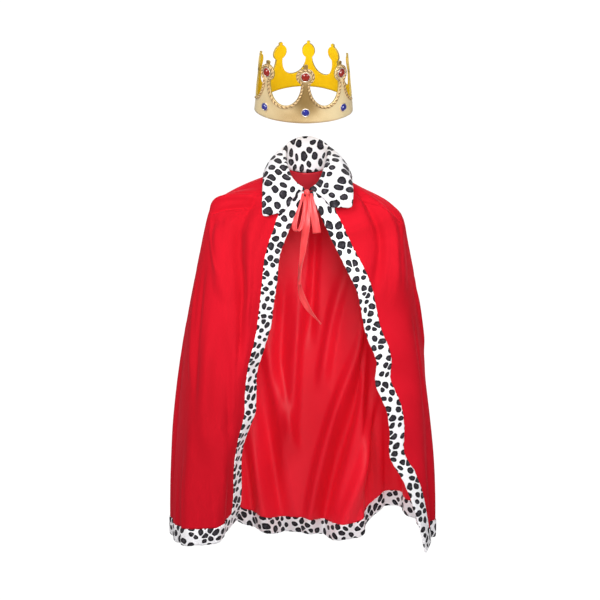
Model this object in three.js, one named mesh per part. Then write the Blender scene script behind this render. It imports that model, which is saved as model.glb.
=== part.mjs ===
// A child's king costume: a flared velvet cape with a spotted plush collar and edging, tied at the neck with a satin
// ribbon bow, and a soft gold crown that stands apart above it. It keeps the hollow form that it has when worn.
// Millimetres. +X is the viewer's right, +Y the wearer's back, +Z up. The origin is the middle of the neckline.
import * as THREE from "three";

const SEAM_GAP = 0.3;
const CLOTH = 2; // velvet wall
const PLUSH = 4.6; // doubled plush edging and collar
const EDGING = 29; // width of the spotted edging
const SIDE = Math.PI / 2;

const vec = (x, y, z) => new THREE.Vector3(x, y, z);
const mix = (a, b, t) => a + (b - a) * t;
const clamp01 = (t) => Math.min(1, Math.max(0, t));
const smooth = (t) => clamp01(t) ** 2 * (3 - 2 * clamp01(t));
const radians = THREE.MathUtils.degToRad;

// Neckline: an oval, higher at the nape and the sides than at the throat.
const NECK = { halfWidth: 44, halfDepth: 47, middle: 8, tilt: 15, saddle: -10 };

// How the cloth hangs: one row for each line that runs from neckline to hem, from the viewer's left front edge round
// the back to the right one. turn is the place on the neckline, in degrees from the nape. hang is 1 where the line
// drops before it spreads and -1 where it spreads first. The s columns are where it leaves the shoulders, the h
// columns where it meets the hem. bell is how early it flares between the two.
const HANG = [
  { turn: -173, hang: 0, sx: -55, sy: -86, sz: -138, bell: -0.08, hx: -139, hy: -58, hz: -638 },
  { turn: -150, hang: 0.1, sx: -88, sy: -98, sz: -108, bell: 0.5, hx: -172, hy: -118, hz: -668 },
  { turn: -125, hang: -0.2, sx: -145, sy: -68, sz: -68, bell: 1.0, hx: -222, hy: -108, hz: -676 },
  { turn: -100, hang: -0.3, sx: -180, sy: -20, sz: -46, bell: 1.25, hx: -250, hy: -30, hz: -678 },
  { turn: -75, hang: -0.3, sx: -172, sy: 25, sz: -48, bell: 1.0, hx: -237, hy: 55, hz: -662 },
  { turn: -50, hang: -0.3, sx: -125, sy: 62, sz: -70, bell: 0.8, hx: -180, hy: 105, hz: -656 },
  { turn: -28, hang: -0.3, sx: -65, sy: 78, sz: -90, bell: 0.5, hx: -118, hy: 108, hz: -684 },
  { turn: -10, hang: -0.3, sx: -22, sy: 82, sz: -96, bell: 0.4, hx: -62, hy: 106, hz: -699 },
  { turn: 4, hang: -0.3, sx: 10, sy: 82, sz: -96, bell: 0.3, hx: -5, hy: 112, hz: -699 },
  { turn: 24, hang: -0.3, sx: 48, sy: 79, sz: -94, bell: 0.3, hx: 54, hy: 102, hz: -709 },
  { turn: 42, hang: -0.3, sx: 92, sy: 72, sz: -86, bell: 0.3, hx: 110, hy: 86, hz: -699 },
  { turn: 50, hang: -0.3, sx: 113, sy: 64, sz: -82, bell: 0.4, hx: 130, hy: 116, hz: -661 },
  { turn: 62, hang: -0.15, sx: 140, sy: 50, sz: -76, bell: 0.6, hx: 156, hy: 121, hz: -646 },
  { turn: 80, hang: -0.1, sx: 170, sy: 20, sz: -63, bell: 0.9, hx: 206, hy: 66, hz: -655 },
  { turn: 102, hang: -0.1, sx: 180, sy: -20, sz: -60, bell: 1.1, hx: 232, hy: -2, hz: -674 },
  { turn: 130, hang: -0.1, sx: 150, sy: -70, sz: -100, bell: 0.9, hx: 235, hy: -66, hz: -676 },
  { turn: 173, hang: 0.05, sx: 95, sy: -92, sz: -200, bell: -0.3, hx: 222, hy: -114, hz: -690 },
];

// Folds: from and to are where a fold starts and ends as shares of the way round, fromDrop and toDrop as shares of the
// drop (a toDrop over 1 runs out over the hem). bow bends its path, half is its half width as a share of the way round,
// depth its height off the cloth in millimetres (into the hollow is positive).
const FOLDS = [
  // left front
  { from: 0.125, fromDrop: 0.08, to: 0.078, toDrop: 0.4, bow: -0.012, half: 0.02, depth: 5 },
  { from: 0.145, fromDrop: 0.09, to: 0.07, toDrop: 0.52, bow: -0.014, half: 0.022, depth: 6 },
  { from: 0.12, fromDrop: 0.05, to: 0.24, toDrop: 0.21, bow: 0, half: 0.035, depth: -6 },
  { from: 0.1, fromDrop: 0.075, to: 0.18, toDrop: 0.25, bow: 0, half: 0.03, depth: 5 },
  { from: 0.165, fromDrop: 0.17, to: 0.1, toDrop: 0.38, bow: 0, half: 0.022, depth: -5 },
  { from: 0.094, fromDrop: 0.4, to: 0.06, toDrop: 0.76, bow: 0, half: 0.019, depth: 7 },
  { from: 0.117, fromDrop: 0.4, to: 0.095, toDrop: 0.8, bow: 0, half: 0.022, depth: -8 },
  { from: 0.08, fromDrop: 0.68, to: 0.055, toDrop: 1.3, bow: 0, half: 0.024, depth: -11 },
  { from: 0.13, fromDrop: 0.6, to: 0.12, toDrop: 1.4, bow: 0, half: 0.026, depth: -8 },
  { from: 0.19, fromDrop: 0.72, to: 0.163, toDrop: 1.3, bow: 0, half: 0.024, depth: -7 },
  // left side and back left
  { from: 0.235, fromDrop: 0.3, to: 0.228, toDrop: 1.4, bow: 0, half: 0.03, depth: -10 },
  { from: 0.28, fromDrop: 0.25, to: 0.282, toDrop: 1.4, bow: 0, half: 0.03, depth: 12 },
  { from: 0.325, fromDrop: 0.25, to: 0.335, toDrop: 1.4, bow: 0, half: 0.03, depth: -15 },
  { from: 0.375, fromDrop: 0.25, to: 0.392, toDrop: 1.4, bow: 0, half: 0.028, depth: 13 },
  // back, whose inside shows
  { from: 0.415, fromDrop: 0.7, to: 0.452, toDrop: 1.1, bow: 0, half: 0.02, depth: -9 },
  { from: 0.415, fromDrop: 0.66, to: 0.495, toDrop: 1.15, bow: 0, half: 0.024, depth: 13 },
  { from: 0.43, fromDrop: 0.52, to: 0.53, toDrop: 1.12, bow: 0, half: 0.027, depth: -15 },
  { from: 0.43, fromDrop: 0.42, to: 0.525, toDrop: 0.8, bow: 0, half: 0.024, depth: 11 },
  { from: 0.474, fromDrop: 0.24, to: 0.478, toDrop: 0.64, bow: 0, half: 0.024, depth: -9 },
  { from: 0.514, fromDrop: 0.24, to: 0.508, toDrop: 0.8, bow: 0, half: 0.024, depth: 9 },
  { from: 0.557, fromDrop: 0.1, to: 0.543, toDrop: 0.5, bow: 0, half: 0.024, depth: -9 },
  { from: 0.64, fromDrop: 0.24, to: 0.575, toDrop: 0.62, bow: -0.01, half: 0.024, depth: 9 },
  { from: 0.705, fromDrop: 0.38, to: 0.555, toDrop: 1.12, bow: -0.045, half: 0.024, depth: 14 },
  { from: 0.71, fromDrop: 0.42, to: 0.562, toDrop: 1.16, bow: -0.03, half: 0.028, depth: -17 },
  { from: 0.74, fromDrop: 0.6, to: 0.575, toDrop: 1.14, bow: -0.01, half: 0.028, depth: 13 },
  { from: 0.69, fromDrop: 0.55, to: 0.668, toDrop: 1.5, bow: 0, half: 0.024, depth: -7 },
  { from: 0.735, fromDrop: 0.5, to: 0.712, toDrop: 1.5, bow: 0, half: 0.032, depth: 12 },
  // right side and right front
  { from: 0.765, fromDrop: 0.3, to: 0.768, toDrop: 1.4, bow: 0, half: 0.028, depth: -10 },
  { from: 0.81, fromDrop: 0.25, to: 0.808, toDrop: 1.4, bow: 0, half: 0.028, depth: 12 },
  { from: 0.86, fromDrop: 0.35, to: 0.85, toDrop: 1.4, bow: 0, half: 0.028, depth: 9 },
  { from: 0.875, fromDrop: 0.25, to: 0.892, toDrop: 0.65, bow: 0, half: 0.03, depth: -5 },
  { from: 0.915, fromDrop: 0.5, to: 0.9, toDrop: 1.4, bow: 0, half: 0.028, depth: -9 },
  { from: 0.94, fromDrop: 0.55, to: 0.945, toDrop: 1.4, bow: 0, half: 0.024, depth: 8 },
  { from: 0.9, fromDrop: 0.05, to: 0.985, toDrop: 0.32, bow: 0.01, half: 0.02, depth: 7 },
  { from: 0.87, fromDrop: 0.06, to: 0.955, toDrop: 0.4, bow: 0.01, half: 0.024, depth: -6 },
];

// The front edges aren't straight: how far each one stands outwards at a share of the drop, in millimetres.
const EDGE_STEPS = [
  { drop: 0.18, left: 0, right: 0 },
  { drop: 0.28, left: -5, right: 0 },
  { drop: 0.35, left: -6, right: -1 },
  { drop: 0.41, left: -7, right: 0 },
  { drop: 0.48, left: -2, right: 8 },
  { drop: 0.54, left: 4, right: -3 },
  { drop: 0.61, left: 0, right: 5 },
  { drop: 0.67, left: -5, right: 1 },
  { drop: 0.74, left: 4, right: -11 },
  { drop: 0.8, left: 7, right: 0 },
  { drop: 0.86, left: 1, right: 5 },
  { drop: 0.93, left: -6, right: 4 },
  { drop: 1, left: -5, right: 0 },
];
const EDGE_REACH = 0.06;

const DROP_SHARES = [0, 0.03, 0.06, 0.1, 0.14, 0.18, 0.23, 0.28, 0.34, 0.4, 0.46, 0.52, 0.58, 0.64, 0.7, 0.76, 0.82, 0.89, 0.958];
const HEM_TOP = 0.958;
const BREAK_SOFTNESS = 0.035;
const RING_STEPS = 420;
const COLUMN_STEP = 13;

// Where each hanging line meets the hem, as a share of the way round.
const hangShares = HANG.reduce((shares, row, i) => {
  const last = HANG[Math.max(0, i - 1)];
  const step = Math.hypot(row.hx - last.hx, row.hy - last.hy, row.hz - last.hz);
  return [...shares, (shares[i - 1] ?? 0) + step];
}, []).map((length, i, all) => length / all[all.length - 1]);

// A smooth curve through one column of a table, at the given places.
function throughColumn(places, rows, column, at) {
  const last = places.length - 1;
  let i = 0;
  while (i < last - 1 && at > places[i + 1]) i += 1;
  const slope = (j) => {
    const a = Math.max(0, j - 1);
    const b = Math.min(last, j + 1);
    return (rows[b][column] - rows[a][column]) / (places[b] - places[a]);
  };
  const span = places[i + 1] - places[i];
  const t = (at - places[i]) / span;
  const t2 = t * t;
  const t3 = t2 * t;
  return (
    rows[i][column] * (2 * t3 - 3 * t2 + 1) +
    slope(i) * span * (t3 - 2 * t2 + t) +
    rows[i + 1][column] * (3 * t2 - 2 * t3) +
    slope(i + 1) * span * (t3 - t2)
  );
}

function neckPoint(turn) {
  const height = NECK.middle + NECK.tilt * Math.cos(turn) + NECK.saddle * Math.cos(2 * turn);
  return vec(NECK.halfWidth * Math.sin(turn), NECK.halfDepth * Math.cos(turn), height);
}

// The line that one share of the way round follows from neckline to hem.
function hangingLine(around) {
  const get = (column) => throughColumn(hangShares, HANG, column, around);
  const neck = neckPoint(radians(get("turn")));
  const shoulder = vec(get("sx"), get("sy"), get("sz"));
  const hem = vec(get("hx"), get("hy"), get("hz"));
  const spread = 0.5 - 0.5 * get("hang");
  const bend = vec(mix(neck.x, shoulder.x, spread), mix(neck.y, shoulder.y, spread), mix(neck.z, shoulder.z, 1 - spread));
  const upper = neck.distanceTo(shoulder);
  return { neck, bend, shoulder, hem, bell: get("bell"), breakAt: upper / (upper + shoulder.distanceTo(hem)) };
}

function sharpPoint(line, drop) {
  if (drop < line.breakAt) {
    const t = drop / line.breakAt;
    const start = line.neck.clone().multiplyScalar((1 - t) ** 2);
    return start.addScaledVector(line.bend, 2 * t * (1 - t)).addScaledVector(line.shoulder, t * t);
  }
  const t = (drop - line.breakAt) / (1 - line.breakAt);
  const out = t + line.bell * t * (1 - t);
  return vec(mix(line.shoulder.x, line.hem.x, out), mix(line.shoulder.y, line.hem.y, out), mix(line.shoulder.z, line.hem.z, t));
}

// The cloth without its folds, rounded over the shoulders.
function restingPoint(around, drop) {
  const line = hangingLine(around);
  const point = vec(0, 0, 0);
  [1, 2, 3, 2, 1].forEach((weight, i) => {
    point.addScaledVector(sharpPoint(line, drop + BREAK_SOFTNESS * (i / 2 - 1)), weight / 9);
  });
  const side = around < 0.5 ? "left" : "right";
  const near = smooth(1 - Math.min(around, 1 - around) / EDGE_REACH);
  if (near && drop > EDGE_STEPS[0].drop) {
    const step = throughColumn(EDGE_STEPS.map((row) => row.drop), EDGE_STEPS, side, drop);
    point.x += near * step * (side === "left" ? -1 : 1);
  }
  return point;
}

function foldHeight(around, drop) {
  return FOLDS.reduce((height, fold) => {
    const t = (drop - fold.fromDrop) / (fold.toDrop - fold.fromDrop);
    const off = (around - mix(fold.from, fold.to, t) - fold.bow * 4 * t * (1 - t)) / fold.half;
    if (t <= 0 || t >= 1 || Math.abs(off) >= 1) return height;
    return height + fold.depth * (0.5 + 0.5 * Math.cos(Math.PI * off)) * smooth(t * 2.5) * smooth((1 - t) * 4);
  }, 0);
}

function capePoint(around, drop) {
  const step = 0.004;
  const here = restingPoint(around, drop);
  const along = restingPoint(around + step, drop).sub(restingPoint(around - step, drop));
  const down = restingPoint(around, drop + step).sub(restingPoint(around, drop - step));
  const outwards = along.cross(down).normalize();
  return here.addScaledVector(outwards, -foldHeight(around, drop));
}

// One row of the cape as a line of points with the length of cloth up to each, so that pieces can be cut from it.
function ringAt(drop) {
  const points = [];
  const lengths = [0];
  for (let i = 0; i <= RING_STEPS; i += 1) {
    points.push(capePoint(i / RING_STEPS, drop));
    if (i) lengths.push(lengths[i - 1] + points[i].distanceTo(points[i - 1]));
  }
  const total = lengths[RING_STEPS];
  const at = (length) => {
    let i = lengths.findIndex((l) => l >= length);
    i = Math.min(RING_STEPS, Math.max(1, i < 0 ? RING_STEPS : i));
    const t = (length - lengths[i - 1]) / (lengths[i] - lengths[i - 1]);
    return points[i - 1].clone().lerp(points[i], t);
  };
  return { total, at };
}

// A closed wall round a surface of quads: the surface moved out and in along its normals, with a rim. Pieces that meet
// at a seam are given the cape's own normals.
function wallFrom(points, quads, outer, inner, given) {
  const normals = given ?? points.map(() => vec(0, 0, 0));
  const count = points.length;
  if (!given) {
    for (const quad of quads) {
      const [a, b, c, d] = quad.map((i) => points[i]);
      const face = c.clone().sub(a).cross(d.clone().sub(b));
      quad.forEach((i) => normals[i].add(face));
    }
    normals.forEach((n) => n.normalize());
  }
  const moved = (distance) => points.map((p, i) => p.clone().addScaledVector(normals[i], distance));
  const vertices = [...moved(outer), ...moved(-inner)];
  const index = [];
  const edges = new Set();
  for (const [a, b, c, d] of quads) {
    const swap = points[a].distanceTo(points[c]) > points[b].distanceTo(points[d]);
    for (const [i, j, k] of swap ? [[a, b, d], [b, c, d]] : [[a, b, c], [a, c, d]]) {
      index.push(i, j, k, i + count, k + count, j + count);
    }
    [[a, b], [b, c], [c, d], [d, a]].forEach(([i, j]) => edges.add(i + "," + j));
  }
  for (const edge of edges) {
    const [i, j] = edge.split(",").map(Number);
    if (edges.has(j + "," + i)) continue;
    // Rims that face each other across a seam are split along the same diagonal.
    if (i < j) index.push(j, i, i + count, j, i + count, j + count);
    else index.push(j, i, j + count, i, i + count, j + count);
  }
  const geometry = new THREE.BufferGeometry();
  geometry.setAttribute("position", new THREE.Float32BufferAttribute(vertices.flatMap((v) => v.toArray()), 3));
  return geometry.setIndex(index);
}

// A wall round a grid of rows of points.
function gridWall(rows, outer, inner, given) {
  const across = rows[0].length;
  const quads = [];
  for (let r = 0; r + 1 < rows.length; r += 1) {
    for (let c = 0; c + 1 < across; c += 1) {
      quads.push([r * across + c, (r + 1) * across + c, (r + 1) * across + c + 1, r * across + c + 1]);
    }
  }
  return wallFrom(rows.flat(), quads, outer, inner, given?.flat());
}

const costume = new THREE.Group();
costume.name = "king_costume";
const velvet = new THREE.MeshStandardMaterial({ color: 0xd1142a, roughness: 0.85, metalness: 0 });
const plush = new THREE.MeshStandardMaterial({ color: 0xf4f2f4, roughness: 0.95, metalness: 0 });
const satin = new THREE.MeshStandardMaterial({ color: 0xf0484c, roughness: 0.45, metalness: 0 });
const gold = new THREE.MeshStandardMaterial({ color: 0xd9b56d, roughness: 0.45, metalness: 0.5 });
const goldCord = new THREE.MeshStandardMaterial({ color: 0xb58d4c, roughness: 0.5, metalness: 0.6 });
const ruby = new THREE.MeshStandardMaterial({ color: 0xa8101c, roughness: 0.15, metalness: 0 });
const sapphire = new THREE.MeshStandardMaterial({ color: 0x1c1f8a, roughness: 0.15, metalness: 0 });

function addPiece(name, geometry, material, parent = costume) {
  const mesh = new THREE.Mesh(geometry, material);
  mesh.name = name;
  parent.add(mesh);
  return mesh;
}

// Side seams, as shares of a row's length: they start on top of the shoulders and run down the sides.
const SEAMS = { leftTop: 0.225, leftHem: 0.245, rightTop: 0.85, rightHem: 0.79 };
const seamShare = (side, drop) => mix(SEAMS[side + "Top"], SEAMS[side + "Hem"], drop);

// The cape's normal at a length of cloth along one of its rows, turned to point inwards like a piece's own.
const ringsAt = new Map();
function cachedRing(drop) {
  if (!ringsAt.has(drop)) ringsAt.set(drop, ringAt(drop));
  return ringsAt.get(drop);
}
function normalAt(drop, length) {
  const [above, here, below] = [Math.max(0, drop - 0.01), drop, Math.min(1, drop + 0.01)].map(cachedRing);
  const along = here.at(Math.min(here.total, length + 4)).sub(here.at(Math.max(0, length - 4)));
  const down = below.at((length / here.total) * below.total).sub(above.at((length / here.total) * above.total));
  return down.cross(along).normalize();
}

// Cuts one piece out of the cape: from and to give the cloth length along a row where the piece starts and ends.
function cutPiece(drops, columns, from, to, wall) {
  const rows = [];
  const normals = [];
  for (const drop of drops) {
    const ring = cachedRing(drop);
    const lengths = Array.from({ length: columns + 1 }, (_, c) => mix(from(ring.total, drop), to(ring.total, drop), c / columns));
    rows.push(lengths.map((length) => ring.at(length)));
    normals.push(lengths.map((length) => normalAt(drop, length)));
  }
  return gridWall(rows, wall / 2, wall / 2, normals);
}

const hemLength = ringAt(1).total;
const columnsFor = (share) => Math.max(3, Math.round((share * hemLength) / COLUMN_STEP));
const leftSeam = (total, drop) => seamShare("left", drop) * total;
const rightSeam = (total, drop) => seamShare("right", drop) * total;
const clear = SEAM_GAP;
const panels = [
  { name: "left", from: () => EDGING + clear, to: leftSeam, share: SEAMS.leftHem },
  { name: "back", from: (t, d) => leftSeam(t, d) + clear, to: (t, d) => rightSeam(t, d) - clear, share: SEAMS.rightHem - SEAMS.leftHem },
  { name: "right", from: rightSeam, to: (t) => t - EDGING - clear, share: 1 - SEAMS.rightHem },
];
const hemDrops = [HEM_TOP + 0.001, (HEM_TOP + 1) / 2, 1];
for (const { name, from, to, share } of panels) {
  addPiece("panel_" + name, cutPiece(DROP_SHARES, columnsFor(share), from, to, CLOTH), velvet);
  addPiece("hem_edging_" + name, cutPiece(hemDrops, columnsFor(share), from, to, PLUSH), plush);
}
const edgeDrops = [...DROP_SHARES, ...hemDrops.slice(1)];
addPiece("front_edging_left", cutPiece(edgeDrops, 3, () => 0, () => EDGING, PLUSH), plush);
addPiece("front_edging_right", cutPiece(edgeDrops, 3, (t) => t - EDGING, (t) => t, PLUSH), plush);

// Collar: one row for each line that runs from the neck seam up the stand, over the roll and down the fall, from the
// viewer's left front end round the nape. turn is as on the neckline; the r columns are the roll, the o columns the
// fall's outer edge. The fall has two corners at each front.
const COLLAR = [
  { turn: -171, rx: -6.6, ry: -52.5, rz: -10, ox: -42, oy: -70, oz: -53 },
  { turn: -152, rx: -19, ry: -48, rz: -2, ox: -62, oy: -75, oz: -56 },
  { turn: -130, rx: -31, ry: -36, rz: 11, ox: -82, oy: -75, oz: -58 },
  { turn: -105, rx: -40, ry: -14, rz: 33, ox: -83, oy: -54, oz: -22 },
  { turn: -80, rx: -43, ry: 8, rz: 50, ox: -82, oy: -22, oz: 6 },
  { turn: -55, rx: -41, ry: 29, rz: 63, ox: -80, oy: 14, oz: 12 },
  { turn: -30, rx: -28, ry: 44, rz: 74, ox: -57, oy: 54, oz: 6 },
  { turn: -10, rx: -10, ry: 52, rz: 80, ox: -21, oy: 76, oz: 3 },
  { turn: 10, rx: 10, ry: 52, rz: 80, ox: 21, oy: 76, oz: 2 },
  { turn: 30, rx: 28, ry: 44, rz: 73, ox: 58, oy: 54, oz: 5 },
  { turn: 55, rx: 41, ry: 29, rz: 62, ox: 82, oy: 16, oz: 8 },
  { turn: 80, rx: 41, ry: 8, rz: 48, ox: 84, oy: -18, oz: 1 },
  { turn: 105, rx: 37, ry: -14, rz: 32, ox: 86, oy: -44, oz: -20 },
  { turn: 130, rx: 29, ry: -34, rz: 12, ox: 83, oy: -61, oz: -42 },
  { turn: 152, rx: 19, ry: -46, rz: -2, ox: 63, oy: -68, oz: -44 },
  { turn: 171, rx: 6.6, ry: -52.5, rz: -10, ox: 44, oy: -66, oz: -44 },
];
const COLLAR_WALL = 3.4;
const COLLAR_ROLL = { half: 3, drop: 3.5 };
const COLLAR_FALL = [0.12, 0.28, 0.46, 0.64, 0.82, 1];

function collarColumn(at) {
  const places = COLLAR.map((_, i) => i);
  const get = (column) => throughColumn(places, COLLAR, column, at);
  const end = Math.min(at, COLLAR.length - 1 - at);
  const seam = neckPoint(radians(get("turn")));
  seam.z += mix(3.8, 2, smooth(end / 3));
  const roll = vec(get("rx"), get("ry"), get("rz"));
  const outer = vec(get("ox"), get("oy"), get("oz"));
  const outwards = vec(outer.x - roll.x, outer.y - roll.y, 0).normalize();
  const inside = roll.clone().addScaledVector(outwards, -COLLAR_ROLL.half);
  const outside = roll.clone().addScaledVector(outwards, COLLAR_ROLL.half);
  inside.z -= COLLAR_ROLL.drop;
  outside.z -= COLLAR_ROLL.drop;
  const spread = mix(0.62, 0.72, smooth(end / 4));
  const bend = vec(mix(outside.x, outer.x, spread), mix(outside.y, outer.y, spread), mix(outside.z, outer.z, 1 - spread - 0.05));
  const fall = COLLAR_FALL.map((t) => {
    const point = outside.clone().multiplyScalar((1 - t) ** 2);
    return point.addScaledVector(bend, 2 * t * (1 - t)).addScaledVector(outer, t * t);
  });
  return [seam, seam.clone().lerp(inside, 0.5), inside, roll, outside, ...fall];
}

const collarColumns = Array.from({ length: 2 * COLLAR.length - 1 }, (_, i) => collarColumn(i / 2));
const collarRows = collarColumns[0].map((_, r) => collarColumns.map((column) => column[r]));
addPiece("collar", gridWall(collarRows, COLLAR_WALL / 2, COLLAR_WALL / 2), plush);

// Ribbon bow: a row for each place along a ribbon. x, y and z are its middle, width its width there and turn how far
// it is turned away from the viewer, in degrees.
const RIBBON = 0.8;
const LOOP_LEFT = [
  { x: -7.5, y: -53.1, z: -19.2, width: 5, turn: 45 },
  { x: -11, y: -59.8, z: -33.1, width: 8, turn: 50 },
  { x: -16.5, y: -66.6, z: -50.1, width: 10, turn: 52 },
  { x: -21.5, y: -71.4, z: -67.2, width: 12, turn: 52 },
  { x: -24, y: -74, z: -79, width: 13, turn: 52 },
  { x: -22, y: -75.5, z: -86, width: 13, turn: 52 },
  { x: -17.5, y: -75.5, z: -88, width: 12, turn: 48 },
  { x: -12.5, y: -74.5, z: -83, width: 11, turn: 42 },
  { x: -8.8, y: -72.5, z: -70, width: 10, turn: 36 },
  { x: -6, y: -69, z: -52.3, width: 9, turn: 34 },
  { x: -5, y: -63, z: -36.3, width: 7, turn: 40 },
  { x: -4.6, y: -56.9, z: -25.1, width: 4, turn: 45 },
];
const LOOP_RIGHT = [
  { x: 7.3, y: -54.1, z: -19.2, width: 5, turn: 20 },
  { x: 9, y: -57.8, z: -33.1, width: 9, turn: 20 },
  { x: 11.5, y: -61.6, z: -50.1, width: 13, turn: 22 },
  { x: 14.5, y: -64.9, z: -67.2, width: 15.5, turn: 24 },
  { x: 17, y: -67, z: -82, width: 16, turn: 26 },
  { x: 18, y: -66, z: -90.5, width: 16, turn: 26 },
  { x: 17.5, y: -62.5, z: -92.5, width: 16, turn: 26 },
  { x: 16.5, y: -59.5, z: -86, width: 16, turn: 26 },
  { x: 14, y: -57, z: -69.3, width: 15, turn: 24 },
  { x: 11, y: -53.6, z: -50.1, width: 12, turn: 22 },
  { x: 8, y: -51.4, z: -34.1, width: 8, turn: 20 },
  { x: 5.6, y: -50, z: -23.7, width: 4, turn: 20 },
];
const TAIL_FRONT = [
  { x: 0.6, y: -55.9, z: -22.3, width: 4.5, turn: 0 },
  { x: 0.2, y: -59.1, z: -39.5, width: 9, turn: 0 },
  { x: -1.2, y: -62, z: -58.7, width: 14, turn: 5 },
  { x: -2.2, y: -62.9, z: -77.9, width: 15.5, turn: 14 },
  { x: -3.6, y: -62.5, z: -94, width: 15.5, turn: 30 },
  { x: -5.8, y: -62, z: -110, width: 15.5, turn: 46 },
  { x: -8.4, y: -61.5, z: -130, width: 15.5, turn: 60 },
  { x: -12, y: -61, z: -153, width: 15.5, turn: 62 },
  { x: -14, y: -61, z: -176, width: 15, turn: 66 },
  { x: -15, y: -61, z: -190, width: 8, turn: 66 },
];
const TAIL_BACK = [
  { x: -0.6, y: -49.8, z: -21.5, width: 4.5, turn: 0 },
  { x: -0.8, y: -50.8, z: -42.7, width: 9, turn: 5 },
  { x: -1.6, y: -52, z: -69.3, width: 14, turn: 20 },
  { x: -4.5, y: -52, z: -98, width: 15.5, turn: 40 },
  { x: -8, y: -51, z: -126, width: 15.5, turn: 56 },
  { x: -12, y: -50, z: -154, width: 15.5, turn: 63 },
  { x: -14.4, y: -50, z: -178, width: 15.5, turn: 66 },
  { x: -13.4, y: -51, z: -196, width: 15.5, turn: 64 },
  { x: -9.8, y: -52, z: -211, width: 15.5, turn: 52 },
  { x: -4.6, y: -52, z: -224, width: 15.5, turn: 42 },
  { x: 3, y: -52, z: -238, width: 15.5, turn: 38 },
  { x: 14.5, y: -52, z: -252, width: 12, turn: 48 },
  { x: 26, y: -52, z: -265, width: 3, turn: 55 },
];

function ribbon(path) {
  const rows = path.map(({ x, y, z, width, turn }) => {
    const across = vec(Math.cos(radians(turn)), -Math.sin(radians(turn)), 0);
    return [-0.5, 0, 0.5].map((side) => vec(x, y, z).addScaledVector(across, side * width));
  });
  return gridWall(rows, RIBBON / 2, RIBBON / 2);
}

addPiece("bow_loop_left", ribbon(LOOP_LEFT), satin);
addPiece("bow_loop_right", ribbon(LOOP_RIGHT), satin);
addPiece("bow_tail_front", ribbon(TAIL_FRONT), satin);
addPiece("bow_tail_back", ribbon(TAIL_BACK), satin);
const knot = new THREE.SphereGeometry(1, 12, 8).scale(5.6, 4.4, 5.8).rotateX(radians(12)).translate(-0.4, -54, -17);
addPiece("bow_knot", knot, satin);

// Crown. It stands apart above the collar, tipped towards the viewer. Its ring is flatter in front than behind.
const CROWN = { halfWidth: 91.2, front: 66, back: 108, spikes: 8, wall: 3.4, x: -6.6, y: 0, z: 137, tip: 22, yaw: 3.5 };
const SPIKE = { valley: 31, neckHalf: 7.6, headRadius: 16, headAt: 0.795, nubHalf: 3.7 };
const crown = new THREE.Group();
crown.name = "crown";
crown.position.set(CROWN.x, CROWN.y, CROWN.z);
crown.rotation.set(radians(CROWN.tip), 0, radians(-CROWN.yaw), "XYZ");
costume.add(crown);

const planPoint = (turn) => {
  const depth = Math.cos(turn) > 0 ? CROWN.back : CROWN.front;
  return vec(CROWN.halfWidth * Math.sin(turn), depth * Math.cos(turn), 0);
};
const planLengths = [0];
const PLAN_STEPS = 1440;
for (let i = 1; i <= PLAN_STEPS; i += 1) {
  const step = (2 * Math.PI) / PLAN_STEPS;
  planLengths.push(planLengths[i - 1] + planPoint(i * step).distanceTo(planPoint((i - 1) * step)));
}
const girth = planLengths[PLAN_STEPS];
const pitch = girth / CROWN.spikes;

// How far each spike is cut round the ring from its even place, from the back one round to the back one again. The three
// front spikes stand wider apart than the others.
const SPIKE_SHIFTS = [[5.7], [1], [0], [-13.5], [-7.6], [4.5], [0], [4.3], [5.7]];
const SPIKE_PLACES = SPIKE_SHIFTS.map((_, spike) => spike);

function turnAt(length) {
  const even = ((length % girth) + girth) % girth;
  const shifted = even + throughColumn(SPIKE_PLACES, SPIKE_SHIFTS, 0, even / pitch);
  const wanted = ((shifted % girth) + girth) % girth;
  const i = Math.max(1, planLengths.findIndex((l) => l >= wanted));
  const t = (wanted - planLengths[i - 1]) / (planLengths[i] - planLengths[i - 1]);
  return ((i - 1 + t) * 2 * Math.PI) / PLAN_STEPS;
}

// A place on the crown's middle surface: length along the ring from the back, height up the leaning wall, and how far
// it stands off that surface.
function crownPoint(length, height, off = 0) {
  const turn = turnAt(length);
  const foot = planPoint(turn);
  const along = planPoint(turn + 0.01).sub(planPoint(turn - 0.01)).normalize();
  const lean = radians(5 + 7 * Math.max(0, Math.cos(turn)) ** 2);
  const inwards = vec(-along.y, along.x, 0).multiplyScalar(Math.sin(lean));
  if (inwards.dot(foot) > 0) inwards.negate();
  const up = inwards.add(vec(0, 0, Math.cos(lean)));
  const normal = along.cross(up).normalize();
  if (normal.dot(foot) < 0) normal.negate();
  return foot.addScaledVector(up, height).addScaledVector(normal, off);
}

// One spike's outline as rows of height and half width, from the lower edge to the tip.
function spikeRows(total) {
  const { valley, neckHalf, headRadius: r, headAt, nubHalf } = SPIKE;
  const head = headAt * total;
  const neck = head - Math.sqrt(r * r - neckHalf * neckHalf);
  const rows = [0, valley / 2, valley].map((height) => ({ height, half: pitch / 2 }));
  for (const t of [0.05, 0.16, 0.34, 0.58, 0.82, 1]) {
    const gap = Math.sqrt(1 - (1 - t) ** 2) * (pitch / 2 - neckHalf);
    rows.push({ height: mix(valley, neck, t), half: pitch / 2 - gap });
  }
  for (const angle of [-30, 0, 30, 54]) {
    rows.push({ height: head + r * Math.sin(radians(angle)), half: r * Math.cos(radians(angle)) });
  }
  const shoulder = head + Math.sqrt(r * r - nubHalf * nubHalf);
  rows.push({ height: shoulder, half: nubHalf });
  rows.push({ height: mix(shoulder, total, 0.5), half: 4.4 }, { height: total, half: 2.4 });
  return rows;
}
const NUB_ROWS = 2;
const VALLEY_ROW = 2;
const SPIKE_COLUMNS = 4;
const spikeHeight = (spike) => 108.5 - 4.5 * Math.cos((2 * Math.PI * spike) / CROWN.spikes);

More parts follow.
